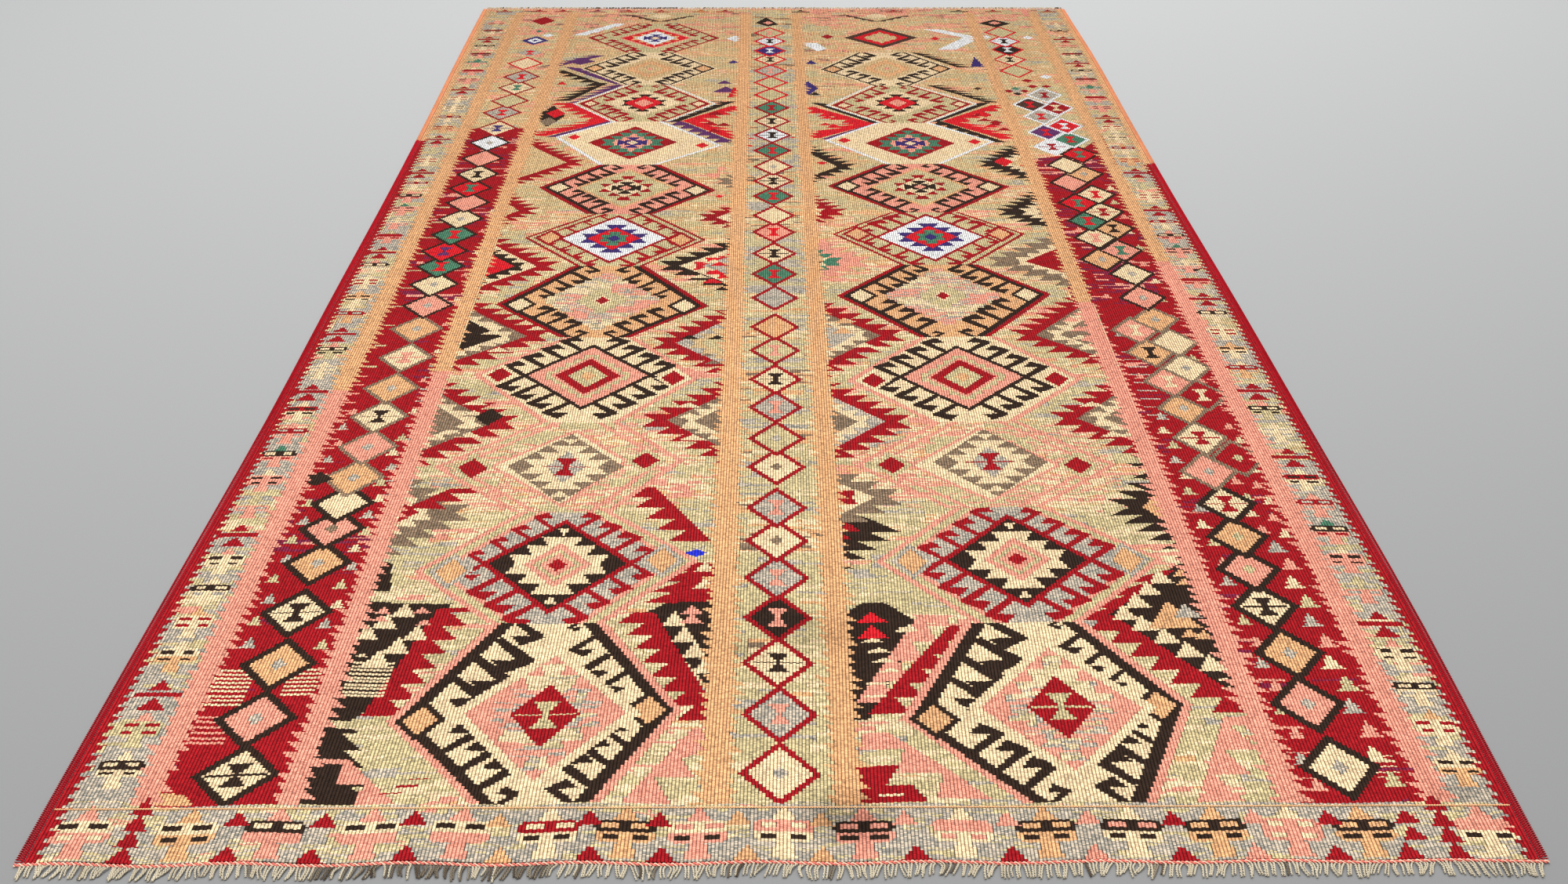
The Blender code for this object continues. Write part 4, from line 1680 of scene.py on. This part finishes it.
def weave_finish():
    """Wool beads on ribs: the yarn of each from the chart, heathered, with painted shade in the valleys,
    painted shadow in the slits and painted shade towards the far end.
    """
    dye = Dye("kilim_weave")
    across, along, _ = dye.parts(dye.output("ShaderNodeUVMap", {"uv_map": "weave"}, {}))
    rib = across.floor()
    # the beads of every second rib lie half a bead farther on, within their face's block of the chart
    shifted = along + 0.5 * (rib % 2.0)
    block_top = (along / BEADS_A_FACE).floor() * BEADS_A_FACE + (BEADS_A_FACE - 1)
    bead = shifted.floor().lesser(block_top)
    number = thread_number(dye, rib, bead)
    slit = number.above(SLIT - 0.5)
    index = (number - slit * SLIT + 0.5) / SLIT
    wool = yarn_ramp(dye, index, yarn_tint).outputs["Color"]
    second = yarn_ramp(dye, index, fleck_of)

    # the noises' scales are per metre, across the rug and along it
    spot = dye.spot()
    x, y, z = dye.parts(spot)
    luck = dye.chance(dye.vector(rib, shifted.floor()))
    drift = dye.noise(dye.vector(x * 9.0, y * 60.0, z), 1.0, 3.0)
    fibre = dye.noise(dye.vector(x * 2600.0, y * 900.0, z * 900.0), 1.0, 2.0)
    share = (luck * BEAD_FLECK + drift * DRIFT_FLECK + fibre * FIBRE_FLECK - LEAST_FLECK).clamped()
    wool = dye.mix(share * Reading(dye, second.outputs["Alpha"]), wool, second.outputs["Color"])

    streak = dye.noise(dye.vector(x * 1.5, y * 26.0, 0.0), 1.0, 4.0) - 0.5
    clump = dye.noise(dye.vector(x * 210.0, y * 150.0, 0.0), 1.0, 2.0) - 0.5
    rib_luck = dye.chance(dye.vector(rib, 0.5)) - 0.5
    tone = MEAN_TONE - BEAD_TONE * (luck - 0.5) - STREAK_TONE * streak
    tone = tone - CLUMP_TONE * clump - RIB_TONE * rib_luck
    # broad patches of the wool's tone, and painted shade that darkens the wool towards the far end
    wash = 1.0 - WASH * (dye.noise(spot, 2.4, 3.0) - 0.5) - FAR_PAINTED_SHADE * (y / WOVEN_LENGTH + 0.5)
    rib_arch = across.arch()
    bead_arch = shifted.arch()
    # painted shade in the valleys between ribs and between the beads' turns
    rib_valley_shade = RIB_VALLEY_PAINTED_SHADE + (1 - RIB_VALLEY_PAINTED_SHADE) * rib_arch ** 0.7
    turn = BEAD_VALLEY_PAINTED_SHADE + (1 - BEAD_VALLEY_PAINTED_SHADE) * bead_arch ** 0.8
    # painted shadow along the left of a rib where a slit opens
    slit_shadow = 1.0 - SLIT_SHADOW_DEPTH * slit * (SLIT_WIDTH - (across - rib)).above(0.0)
    tinted = dye.shaded(wool, tone * wash * rib_valley_shade * turn * slit_shadow * patch_darkening(dye, spot, x, y))
    height = rib_arch ** 0.55 * (0.62 + 0.38 * bead_arch ** 0.6) + 0.10 * fibre
    normal = dye.relief(height, sizes().rib_height)
    return dye.finish(Base_Color=tinted, Normal=normal, Roughness=0.94 - 0.08 * fibre)


def spun_finish(name, yarn, worn, wear, second=None):
    """A spun yarn on cords: fine fibres, worn patches, and a second yarn where the piece's shade says so."""
    dye = Dye(name)
    spot = dye.spot()
    fibre = dye.noise(spot, 2200.0, 2.0, 0.7)
    patch = dye.noise(spot, 60.0, 3.0)
    base = dye.mix((patch * 1.6 - 0.4).clamped() * wear, opaque(yarn), opaque(worn))
    if second is not None:
        settings = {"attribute_name": "shade", "attribute_type": "GEOMETRY"}
        shade = dye.value("ShaderNodeAttribute", settings, {}, "Fac")
        base = dye.mix(shade, base, opaque(second))
    tone = 0.85 + 0.45 * fibre
    wash = 1.10 - 0.35 * (dye.noise(spot, 9.0, 2.0) - 0.2)
    normal = dye.relief(fibre, FIBRE_RELIEF, 0.8)
    return dye.finish(Base_Color=dye.shaded(base, tone * wash), Normal=normal, Roughness=0.95 - 0.1 * fibre)


# ---- modelling helpers
def deselect_all():
    """Nothing selected, and object mode."""
    if bpy.context.object and bpy.context.object.mode != "OBJECT":
        bpy.ops.object.mode_set(mode="OBJECT")
    bpy.ops.object.select_all(action="DESELECT")


def named(name):
    """The active object, with its own name and its mesh's set."""
    piece = bpy.context.object
    piece.name = name
    piece.data.name = name
    return piece


def only(piece):
    """Select one object and make it the active one."""
    deselect_all()
    piece.select_set(True)
    bpy.context.view_layer.objects.active = piece


def points_of(piece):
    """A mesh's points as an array."""
    flat = np.empty(len(piece.data.vertices) * 3)
    piece.data.vertices.foreach_get("co", flat)
    return flat.reshape(-1, 3)


def move_points(piece, points):
    """Put a mesh's points where an array says."""
    piece.data.vertices.foreach_set("co", np.ascontiguousarray(points, dtype=float).ravel())
    piece.data.update()


def apply_modifier(piece, kind, **settings):
    """Add a modifier, set it and apply it."""
    only(piece)
    made = piece.modifiers.new(kind.title(), kind)
    for key, value in settings.items():
        setattr(made, key, value)
    bpy.ops.object.modifier_apply(modifier=made.name)


def close_and_face_out(piece):
    """Cap open ends, turn the faces outwards and smooth them."""
    only(piece)
    bpy.ops.object.mode_set(mode="EDIT")
    bpy.ops.mesh.select_all(action="SELECT")
    bpy.ops.mesh.fill_holes(sides=0)
    bpy.ops.mesh.normals_make_consistent(inside=False)
    bpy.ops.object.mode_set(mode="OBJECT")
    bpy.ops.object.shade_smooth()


def give_shade(piece, shade):
    """How much of its second yarn each point of a cord shows."""
    layer = piece.data.attributes.new("shade", "FLOAT", "POINT")
    layer.data.foreach_set("value", shade)


def hand_over(piece, slot, material, *nodes):
    """Give a finished piece its material, its body and the nodes that it stands for; the slot is not used.
    """
    piece.data.materials.clear()
    piece.data.materials.append(material)
    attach(piece, "root")
    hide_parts(*nodes)
    deselect_all()


def reach_of(node, axis):
    """Where a CAD node starts and stops along x (0) or y (1), from the near left corner."""
    low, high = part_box(node)
    corner = (CORNER_X, CORNER_Y)[axis]
    return low[axis] - corner, high[axis] - corner


# ---- the cloth
def face_middles(mesh, uv):
    """Each face's mean place on the chart."""
    starts = np.empty(len(mesh.polygons), int)
    totals = np.empty(len(mesh.polygons), int)
    mesh.polygons.foreach_get("loop_start", starts)
    mesh.polygons.foreach_get("loop_total", totals)
    return np.add.reduceat(uv, starts, axis=0) / totals[:, None]


def slit_cells(yarn):
    """Cells with an open slit on their left: the yarn changes there for three rows or more."""
    differs = np.zeros(yarn.shape, bool)
    differs[:, 1:] = yarn[:, 1:] != yarn[:, :-1]
    triple = differs[:-2] & differs[1:-1] & differs[2:]
    slits = np.zeros(yarn.shape, bool)
    for shift in range(3):
        slits[shift:shift + len(triple)] |= triple
    return slits


def pack_threads(mesh, numbers):
    """Write each face's block of the chart into two colour attributes, four beads of a rib to a number."""
    uv = np.empty(len(mesh.loops) * 2)
    mesh.uv_layers["weave"].data.foreach_get("uv", uv)
    middles = face_middles(mesh, uv.reshape(-1, 2))
    rows, ribs = numbers.shape
    halves = BEADS_A_FACE // BEADS_A_WORD
    blocks = numbers.reshape(rows // BEADS_A_FACE, halves, BEADS_A_WORD, ribs // RIBS_A_FACE, RIBS_A_FACE)
    digits = float(BASE) ** np.arange(BEADS_A_WORD)
    words = np.einsum("ahrbc,r->ahbc", blocks.astype(float), digits)
    across, along = (middles // (RIBS_A_FACE, BEADS_A_FACE)).astype(int).T
    across = np.clip(across, 0, words.shape[2] - 1)
    along = np.clip(along, 0, words.shape[0] - 1)
    for half, name in enumerate((LOW_WORDS, HIGH_WORDS)):
        layer = mesh.attributes.new(name, "FLOAT_COLOR", "FACE")
        layer.data.foreach_set("color", words[along, half, across].ravel())


class KILIM_OT_weave_cloth(bpy.types.Operator):
    """Weave the cloth: a sheet on the frame's outline that carries the chart of threads"""

    bl_idname = "kilim.weave_cloth"
    bl_label = "Weave the cloth"
    bl_options = {"REGISTER", "UNDO"}

    def execute(self, context):
        chart = weave().yarn
        cloth = self.lay(sizes().ribs // RIBS_A_FACE, sizes().beads // BEADS_A_FACE)
        self.thicken(cloth)
        pack_threads(cloth.data, chart + SLIT * slit_cells(chart))
        cloth.data.validate()
        hand_over(cloth, "wool_weave", weave_finish(), "kilim_cloth")
        return {"FINISHED"}

    @staticmethod
    def lay(columns, rows):
        """The cloth's upper face, and a UV map whose u counts ribs and whose v counts beads."""
        deselect_all()
        bpy.ops.mesh.primitive_grid_add(x_subdivisions=columns, y_subdivisions=rows, size=1.0)
        cloth = named("kilim_weave")
        across, along = np.rint((points_of(cloth)[:, :2] + 0.5) * (columns, rows)).T
        start = end_line(NEAR, across / columns * WOVEN_WIDTH, BESIDE_BRAID)
        stop = end_line(FAR, across / columns * WOVEN_WIDTH, BESIDE_BRAID)
        y = start + along / rows * (stop - start)
        left = side_line(LEFT, y, BESIDE_CORD)
        right = side_line(RIGHT, y, BESIDE_CORD)
        x = left + across / columns * (right - left)
        move_points(cloth, place(x, y, cloth_top(x, y)))
        mesh = cloth.data
        corners = np.empty(len(mesh.loops), int)
        mesh.loops.foreach_get("vertex_index", corners)
        spots = np.stack([across * RIBS_A_FACE, along * BEADS_A_FACE], axis=-1)
        layer = mesh.uv_layers[0]
        layer.name = "weave"
        layer.data.foreach_set("uv", spots[corners].ravel())
        return cloth

    @staticmethod
    def thicken(cloth):
        """Give the cloth its underside, flat on the floor."""
        apply_modifier(cloth, "SOLIDIFY", thickness=sizes().cloth_thickness, offset=-1.0)
        points = points_of(cloth)
        top, bottom = np.split(points, 2)
        if top[:, 2].mean() < bottom[:, 2].mean():
            top, bottom = bottom, top
        bottom[:, :2] = top[:, :2]
        bottom[:, 2] = 0.0
        move_points(cloth, points)


# ---- cords
CLEARANCE = 0.0002              # what a cord keeps free at each end
OVERCAST_YARN = 0.00178         # radius of the yarn that winds around the sides
OVERCAST_SIDES = 5
OVERCAST_STEPS = 9
OVERCAST_WEAR = 0.5
PLY_SIDES = 6
TWINE_STEPS = 8
TWINE_WEAR = 0.5
PALE_PLY = 0.8                  # how much of its second yarn the second ply of an end cord shows
ROW_PITCH = 0.006               # one full twist of the fine row inside the near border
ROW_STEPS = 6
ROW_WEAR = 0.6


def wound(name, rings, pitch, length, steps):
    """Yarns wound about the Y axis for a length: rings are (yarn radius, distance out, turn, sides)."""
    deselect_all()
    made = []
    for radius, out, turn, sides in rings:
        where = (out * math.cos(turn), 0, out * math.sin(turn))
        bpy.ops.mesh.primitive_circle_add(
            vertices=sides, radius=radius, location=where, rotation=(math.pi / 2, 0, 0)
        )
        made.append(bpy.context.object)
    for ring_mesh in made:
        ring_mesh.select_set(True)
    if len(made) > 1:
        bpy.ops.object.join()
    bpy.ops.object.transform_apply(location=True, rotation=True, scale=True)
    cord = named(name)
    turns = max(1, round(length / pitch))
    apply_modifier(
        cord, "SCREW", axis="Y", angle=math.tau, screw_offset=length / turns, iterations=turns,
        steps=steps, render_steps=steps, use_smooth_shade=True, use_merge_vertices=False,
    )
    close_and_face_out(cord)
    return cord


class KILIM_OT_wind_selvedges(bpy.types.Operator):
    """Wind the overcasting along both sides, in its two yarns"""

    bl_idname = "kilim.wind_selvedges"
    bl_label = "Wind the selvedges"
    bl_options = {"REGISTER", "UNDO"}

    def execute(self, context):
        crimson = spun_finish("crimson_overcast", cords().crimson, cords().worn_crimson, OVERCAST_WEAR)
        peach = spun_finish("peach_overcast", cords().peach, cords().worn_peach, OVERCAST_WEAR)
        for side, label in ((LEFT, "left"), (RIGHT, "right")):
            self.wind(side, f"overcast_{label}_near", "crimson_overcast", crimson, f"side_cord_{label}_near")
            self.wind(side, f"overcast_{label}_far", "peach_overcast", peach, f"side_cord_{label}_far")
        return {"FINISHED"}

    @staticmethod
    def wind(side, name, slot, finish, node):
        """One yarn around one side, over the length of its CAD cord."""
        start, stop = reach_of(node, 1)
        clear = OVERCAST_YARN + CLEARANCE
        length = stop - start - 2 * clear
        rings = ((OVERCAST_YARN, SIDE_CORD_WIDTH / 2 - OVERCAST_YARN, 0.0, OVERCAST_SIDES),)
        cord = wound(name, rings, sizes().overcast_pitch, length, OVERCAST_STEPS)
        points = points_of(cord)
        y = np.clip(points[:, 1] + start + clear, start, stop)
        x = side_line(side, y, SIDE_CORD_WIDTH / 2) + points[:, 0] * side
        z = SIDE_CORD_HEIGHT / 2 + points[:, 2] * SIDE_CORD_HEIGHT / SIDE_CORD_WIDTH
        move_points(cord, place(x, y, z))
        close_and_face_out(cord)
        hand_over(cord, slot, finish, node)


class KILIM_OT_twist_ends(bpy.types.Operator):
    """Twist the two-ply cords that close the ends, and the fine one inside the near border"""

    bl_idname = "kilim.twist_ends"
    bl_label = "Twist the end cords"
    bl_options = {"REGISTER", "UNDO"}

    def execute(self, context):
        coral = spun_finish(
            "coral_twine", cords().coral, cords().worn_coral, TWINE_WEAR, cords().coral_second_ply
        )
        self.end_cord(NEAR, "near", coral)
        self.end_cord(FAR, "far", coral)
        peach = spun_finish("peach_twine", yarns().peach, cords().worn_row, ROW_WEAR)
        self.fine_row(peach)
        return {"FINISHED"}

    def end_cord(self, end, label, finish):
        """The cord along one end of the weaving, its second ply paler."""
        node = f"end_braid_{label}"
        start, stop = reach_of(node, 0)
        pitch = sizes().twine_pitch
        cord = self.twist(f"twined_end_{label}", start, stop, END_BRAID_WIDTH, pitch, TWINE_STEPS)
        x, across, up = points_of(cord).T
        y = end_line(end, x, END_BRAID_WIDTH / 2) + across
        move_points(cord, place(x, y, (up / END_BRAID_WIDTH + 0.5) * END_BRAID_HEIGHT))
        second_ply = np.arange(len(x)) % (2 * PLY_SIDES) >= PLY_SIDES
        give_shade(cord, second_ply * PALE_PLY)
        close_and_face_out(cord)
        hand_over(cord, "coral_twine", finish, node)

    def fine_row(self, finish):
        """The fine twist on the cloth's upper face, inside the near border."""
        start, stop = reach_of("twined_line_near", 0)
        line = self.twist("twined_row_near", start, stop, TWINED_LINE_WIDTH, ROW_PITCH, ROW_STEPS)
        x, across, up = points_of(line).T
        y = TWINED_LINE_AT + across
        height = (up / TWINED_LINE_WIDTH + 0.5) * TWINED_LINE_HEIGHT
        move_points(line, place(x, y, cloth_top(x, y) + GAP + height))
        close_and_face_out(line)
        hand_over(line, "peach_twine", finish, "twined_line_near")

    @staticmethod
    def twist(name, start, stop, width, pitch, steps):
        """Two plies about the X axis from start to stop."""
        ply = width / 4
        clear = ply + CLEARANCE
        length = stop - start - 2 * clear
        rings = ((ply, ply, 0.0, PLY_SIDES), (ply, ply, math.pi, PLY_SIDES))
        cord = wound(name, rings, pitch, length, steps)
        x, y, z = points_of(cord).T
        move_points(cord, np.stack([y + start + clear, -x, z], axis=-1))
        return cord


# ---- fringe
WARP_YARN = 0.00088             # radius of each of a warp end's two yarns
WARP_PLY = 0.00075              # from the middle of the warp end to the middle of each yarn
WARP_TURNS = 3
WARP_SIDES = 4
WARP_STEPS = 4
WARP_WEAR = 0.8
WARP_LUCK = 21                  # each fringe's random draws start from its own number, one less or one more
ROOTS_INSIDE = 0.0075           # from the ends of the CAD fringe to the outermost warp ends
ROOT_SCATTER = 0.0003
# Warp ends lean in tufts along the fringe: a tuft's length, how much it counts, and its shift
Tuft = namedtuple("Tuft", "length weight shift")
TUFTS = (Tuft(0.23, 1.0, 1.3), Tuft(0.061, 0.6, 0.0))
# How far they lean, in radians: by their tuft and their end of the rug, and by a pair's luck and a strand's
TUFT_LEAN, END_LEAN, PAIR_LEAN, STRAND_LEAN = 0.16, 0.12, 0.13, 0.03
PAIR_CLOSE = 0.0007             # how far each of a pair moves towards the other
CLOSED_AFTER = 2.5              # the two have closed up at 1 / 2.5 of their length
TAPER = 0.12                    # how much thinner the tip is than the root
THICKNESS = (0.95, 1.18)
CURL, CURL_BEND = 0.0010, 1.3   # how far they curl sideways, and in how many half waves
HUMP, HUMP_BEND = (0.0006, 0.0020), 1.15    # the same for how they rise off the floor
TIP_HEIGHT, ROOT_RISE = 0.0017, 0.0006
LEAST_HEIGHT = 0.00005
# Where most warp ends are brown, and how many are there and elsewhere
BROWN_STRETCH = {NEAR: (0.33, 0.60), FAR: (0.31, 0.56)}
BROWN_THERE, BROWN_ELSEWHERE = 0.75, 0.07
BROWN_SHADE = (0.55, 1.0)


class KILIM_OT_knot_warp_ends(bpy.types.Operator):
    """Leave the warp ends outside both end cords: one two-ply end, copied to every rib"""

    bl_idname = "kilim.knot_warp_ends"
    bl_label = "Leave the warp ends"
    bl_options = {"REGISTER", "UNDO"}

    def execute(self, context):
        finish = spun_finish("warp_yarn", yarns().warp, cords().worn_warp, WARP_WEAR, yarns().dark_warp)
        for end, label in ((NEAR, "near"), (FAR, "far")):
            luck = np.random.default_rng(WARP_LUCK + end)
            fringe, roots = self.lay(end, label, luck)
            self.shade(fringe, end, roots, luck)
            close_and_face_out(fringe)
            hand_over(fringe, "warp_yarn", finish, f"fringe_{label}")
        return {"FINISHED"}

    @staticmethod
    def lay(end, label, luck):
        """The warp ends of one end of the rug, in pairs that lean together, and the x of their roots."""
        length = sizes().warp_end_length
        number = sizes().ribs
        rings = tuple((WARP_YARN, WARP_PLY, turn, WARP_SIDES) for turn in (0.0, math.pi))
        fringe = wound(f"warp_ends_{label}", rings, length / WARP_TURNS, length, WARP_STEPS)
        base = points_of(fringe)
        apply_modifier(fringe, "ARRAY", count=number, use_relative_offset=False, use_constant_offset=True)

        start, stop = reach_of(f"fringe_{label}", 0)
        steps = (np.arange(number) + 0.5) / number
        roots = start + ROOTS_INSIDE + steps * (stop - start - 2 * ROOTS_INSIDE)
        roots += luck.normal(0, ROOT_SCATTER, number)
        pair = np.arange(number) // 2
        inward = 1 - 2.0 * (np.arange(number) % 2)
        tufts = sum(t.weight * np.sin(roots * math.tau / t.length + t.shift) for t in TUFTS)
        lean = (TUFT_LEAN * tufts + END_LEAN * end)[2 * pair]
        lean += luck.normal(0, PAIR_LEAN, number)[pair]
        lean += luck.normal(0, STRAND_LEAN, number)
        reach = length + luck.normal(0, 0.5, number) * sizes().warp_end_spread
        hump = luck.uniform(*HUMP, number)
        curl = luck.normal(0, CURL, number)[pair]
        thick = luck.uniform(*THICKNESS, number)

        # from here on, a value for each point: the warp end that it is on, and how far along it lies
        owner = np.repeat(np.arange(number), len(base))
        along = np.tile(base[:, 1] / length, number)
        taper = 1 - TAPER * along
        beside = np.tile(base[:, 0], number) * thick[owner] * taper
        beside += (inward * PAIR_CLOSE)[owner] * np.minimum(1, along * CLOSED_AFTER)
        x = roots[owner] + reach[owner] * along * np.sin(lean[owner])
        x += curl[owner] * np.sin(along * math.pi * CURL_BEND)
        x += beside
        out = 2 * GAP + reach[owner] * along * np.cos(lean[owner])
        y = end_line(end, np.clip(x, 0, WOVEN_WIDTH)) + end * out
        z = TIP_HEIGHT + ROOT_RISE * (1 - along)
        z += hump[owner] * np.sin(np.minimum(1.0, along * HUMP_BEND) * math.pi)
        z += np.tile(base[:, 2], number) * thick[owner] * taper
        move_points(fringe, place(x, y, np.maximum(z, LEAST_HEIGHT)))
        return fringe, roots

    @staticmethod
    def shade(fringe, end, roots, luck):
        """Which warp ends are brown."""
        number = len(roots)
        low, high = BROWN_STRETCH[end]
        brown = (roots > low) & (roots < high) & (luck.random(number) < BROWN_THERE)
        brown |= luck.random(number) < BROWN_ELSEWHERE
        shades = brown * luck.uniform(*BROWN_SHADE, number)
        give_shade(fringe, np.repeat(shades, len(fringe.data.vertices) // number))


# ---- the studio
CAMERA_PLACE = Vector((-0.0077, -3.1292, 1.3268))    # from the middle of the weaving
CAMERA_DOWN = 29.683
CAMERA_YAW = -0.371
CAMERA_ROLL = 0.0887
LENS = 38.466
SENSOR = 36.0
FLOOR_DROP = 0.0004
FLOOR_FADE_BEFORE = 2.0         # the floor's colour changes from here before the rug's middle
FLOOR_FADE_LENGTH = 4.2
SKY = (0.97, 0.985, 1.0)
LIGHT_SIZE = 5.0
LIGHTS = {"key_light": (-0.7, -2.2, 5.0), "fill_light": (0.9, 2.4, 4.8)}


class KILIM_OT_set_stage(bpy.types.Operator):
    """Lay the plain floor, and set the soft lights, the sky and the camera"""

    bl_idname = "kilim.set_stage"
    bl_label = "Set the stage"
    bl_options = {"REGISTER", "UNDO"}

    def execute(self, context):
        deselect_all()
        bpy.ops.mesh.primitive_plane_add(size=studio().floor_size, location=(0, 0, -FLOOR_DROP))
        floor = named("studio_floor")
        floor.data.materials.append(self.floor_finish())
        lights = [
            self.light("key_light", studio().key_power),
            self.light("fill_light", studio().fill_power),
        ]
        camera = self.camera()
        context.scene.world = self.sky()
        context.scene.view_settings.view_transform = "Standard"
        deselect_all()
        return {"FINISHED"}

    @staticmethod
    def light(name, power):
        """A large soft light that looks at the rug's middle."""
        bpy.ops.object.light_add(type="AREA", location=LIGHTS[name])
        light = bpy.context.object
        light.name = name
        light.data.shape = "DISK"
        light.data.size = LIGHT_SIZE
        light.data.energy = power
        light.rotation_euler = (-light.location).to_track_quat("-Z", "Y").to_euler()
        return light

    @staticmethod
    def floor_finish():
        """A plain floor, darker in front of the rug than behind it."""
        dye = Dye("studio_floor")
        _, y, _ = dye.parts(dye.spot())
        share = ((y + FLOOR_FADE_BEFORE) / FLOOR_FADE_LENGTH).clamped()
        tint = dye.mix(share, opaque(studio().floor_near), opaque(studio().floor_far))
        return dye.finish(Base_Color=tint, Roughness=0.75)

    @staticmethod
    def camera():
        """The camera at the photo's viewpoint."""
        bpy.ops.object.camera_add()
        camera = bpy.context.object
        camera.name = "photo_camera"
        middle = Vector((CORNER_X + WOVEN_WIDTH / 2, CORNER_Y + WOVEN_LENGTH / 2, 0))
        turn = (
            Matrix.Rotation(math.radians(CAMERA_YAW), 4, "Z")
            @ Matrix.Rotation(math.radians(90 - CAMERA_DOWN), 4, "X")
            @ Matrix.Rotation(math.radians(CAMERA_ROLL), 4, "Z")
        )
        camera.matrix_world = Matrix.Translation(CAMERA_PLACE + middle) @ turn
        camera.data.lens = LENS
        camera.data.sensor_width = SENSOR
        camera.data.sensor_fit = "HORIZONTAL"
        bpy.context.scene.camera = camera
        return camera

    @staticmethod
    def sky():
        """An even light from all round."""
        world = bpy.data.worlds.new("studio_sky")
        world.use_nodes = True
        background = world.node_tree.nodes["Background"]
        background.inputs["Color"].default_value = opaque(SKY)
        background.inputs["Strength"].default_value = studio().sky_strength
        return world


# ---- the add-on
OPERATORS = (
    KILIM_OT_weave_cloth,
    KILIM_OT_wind_selvedges,
    KILIM_OT_twist_ends,
    KILIM_OT_knot_warp_ends,
    KILIM_OT_set_stage,
)
GROUPS = {
    "kilim_sizes": KilimSizes,
    "kilim_yarns": KilimYarns,
    "kilim_cords": KilimCords,
    "kilim_studio": KilimStudio,
}


class KILIM_PT_rug(bpy.types.Panel):
    """The rug's sizes, its colours and its steps"""

    bl_idname = "KILIM_PT_rug"
    bl_label = "Kilim rug"
    bl_space_type = "VIEW_3D"
    bl_region_type = "UI"
    bl_category = "Kilim"

    def draw(self, context):
        for owner, group in GROUPS.items():
            box = self.layout.box()
            for name in group.__annotations__:
                box.prop(getattr(context.scene, owner), name)
        for operator in OPERATORS:
            self.layout.operator(operator.bl_idname)


CLASSES = (*GROUPS.values(), *OPERATORS, KILIM_PT_rug)


def register():
    """Add the classes, and their values to the scene."""
    for made in CLASSES:
        bpy.utils.register_class(made)
    for name, group in GROUPS.items():
        setattr(bpy.types.Scene, name, bpy.props.PointerProperty(type=group))


def unregister():
    """Take away what register added."""
    for name in GROUPS:
        delattr(bpy.types.Scene, name)
    for made in reversed(CLASSES):
        bpy.utils.unregister_class(made)


def main():
    """Build every piece in turn."""
    register()
    bpy.ops.kilim.weave_cloth()
    bpy.ops.kilim.wind_selvedges()
    bpy.ops.kilim.twist_ends()
    bpy.ops.kilim.knot_warp_ends()
    bpy.ops.kilim.set_stage()


if __name__ == "__main__":
    main()
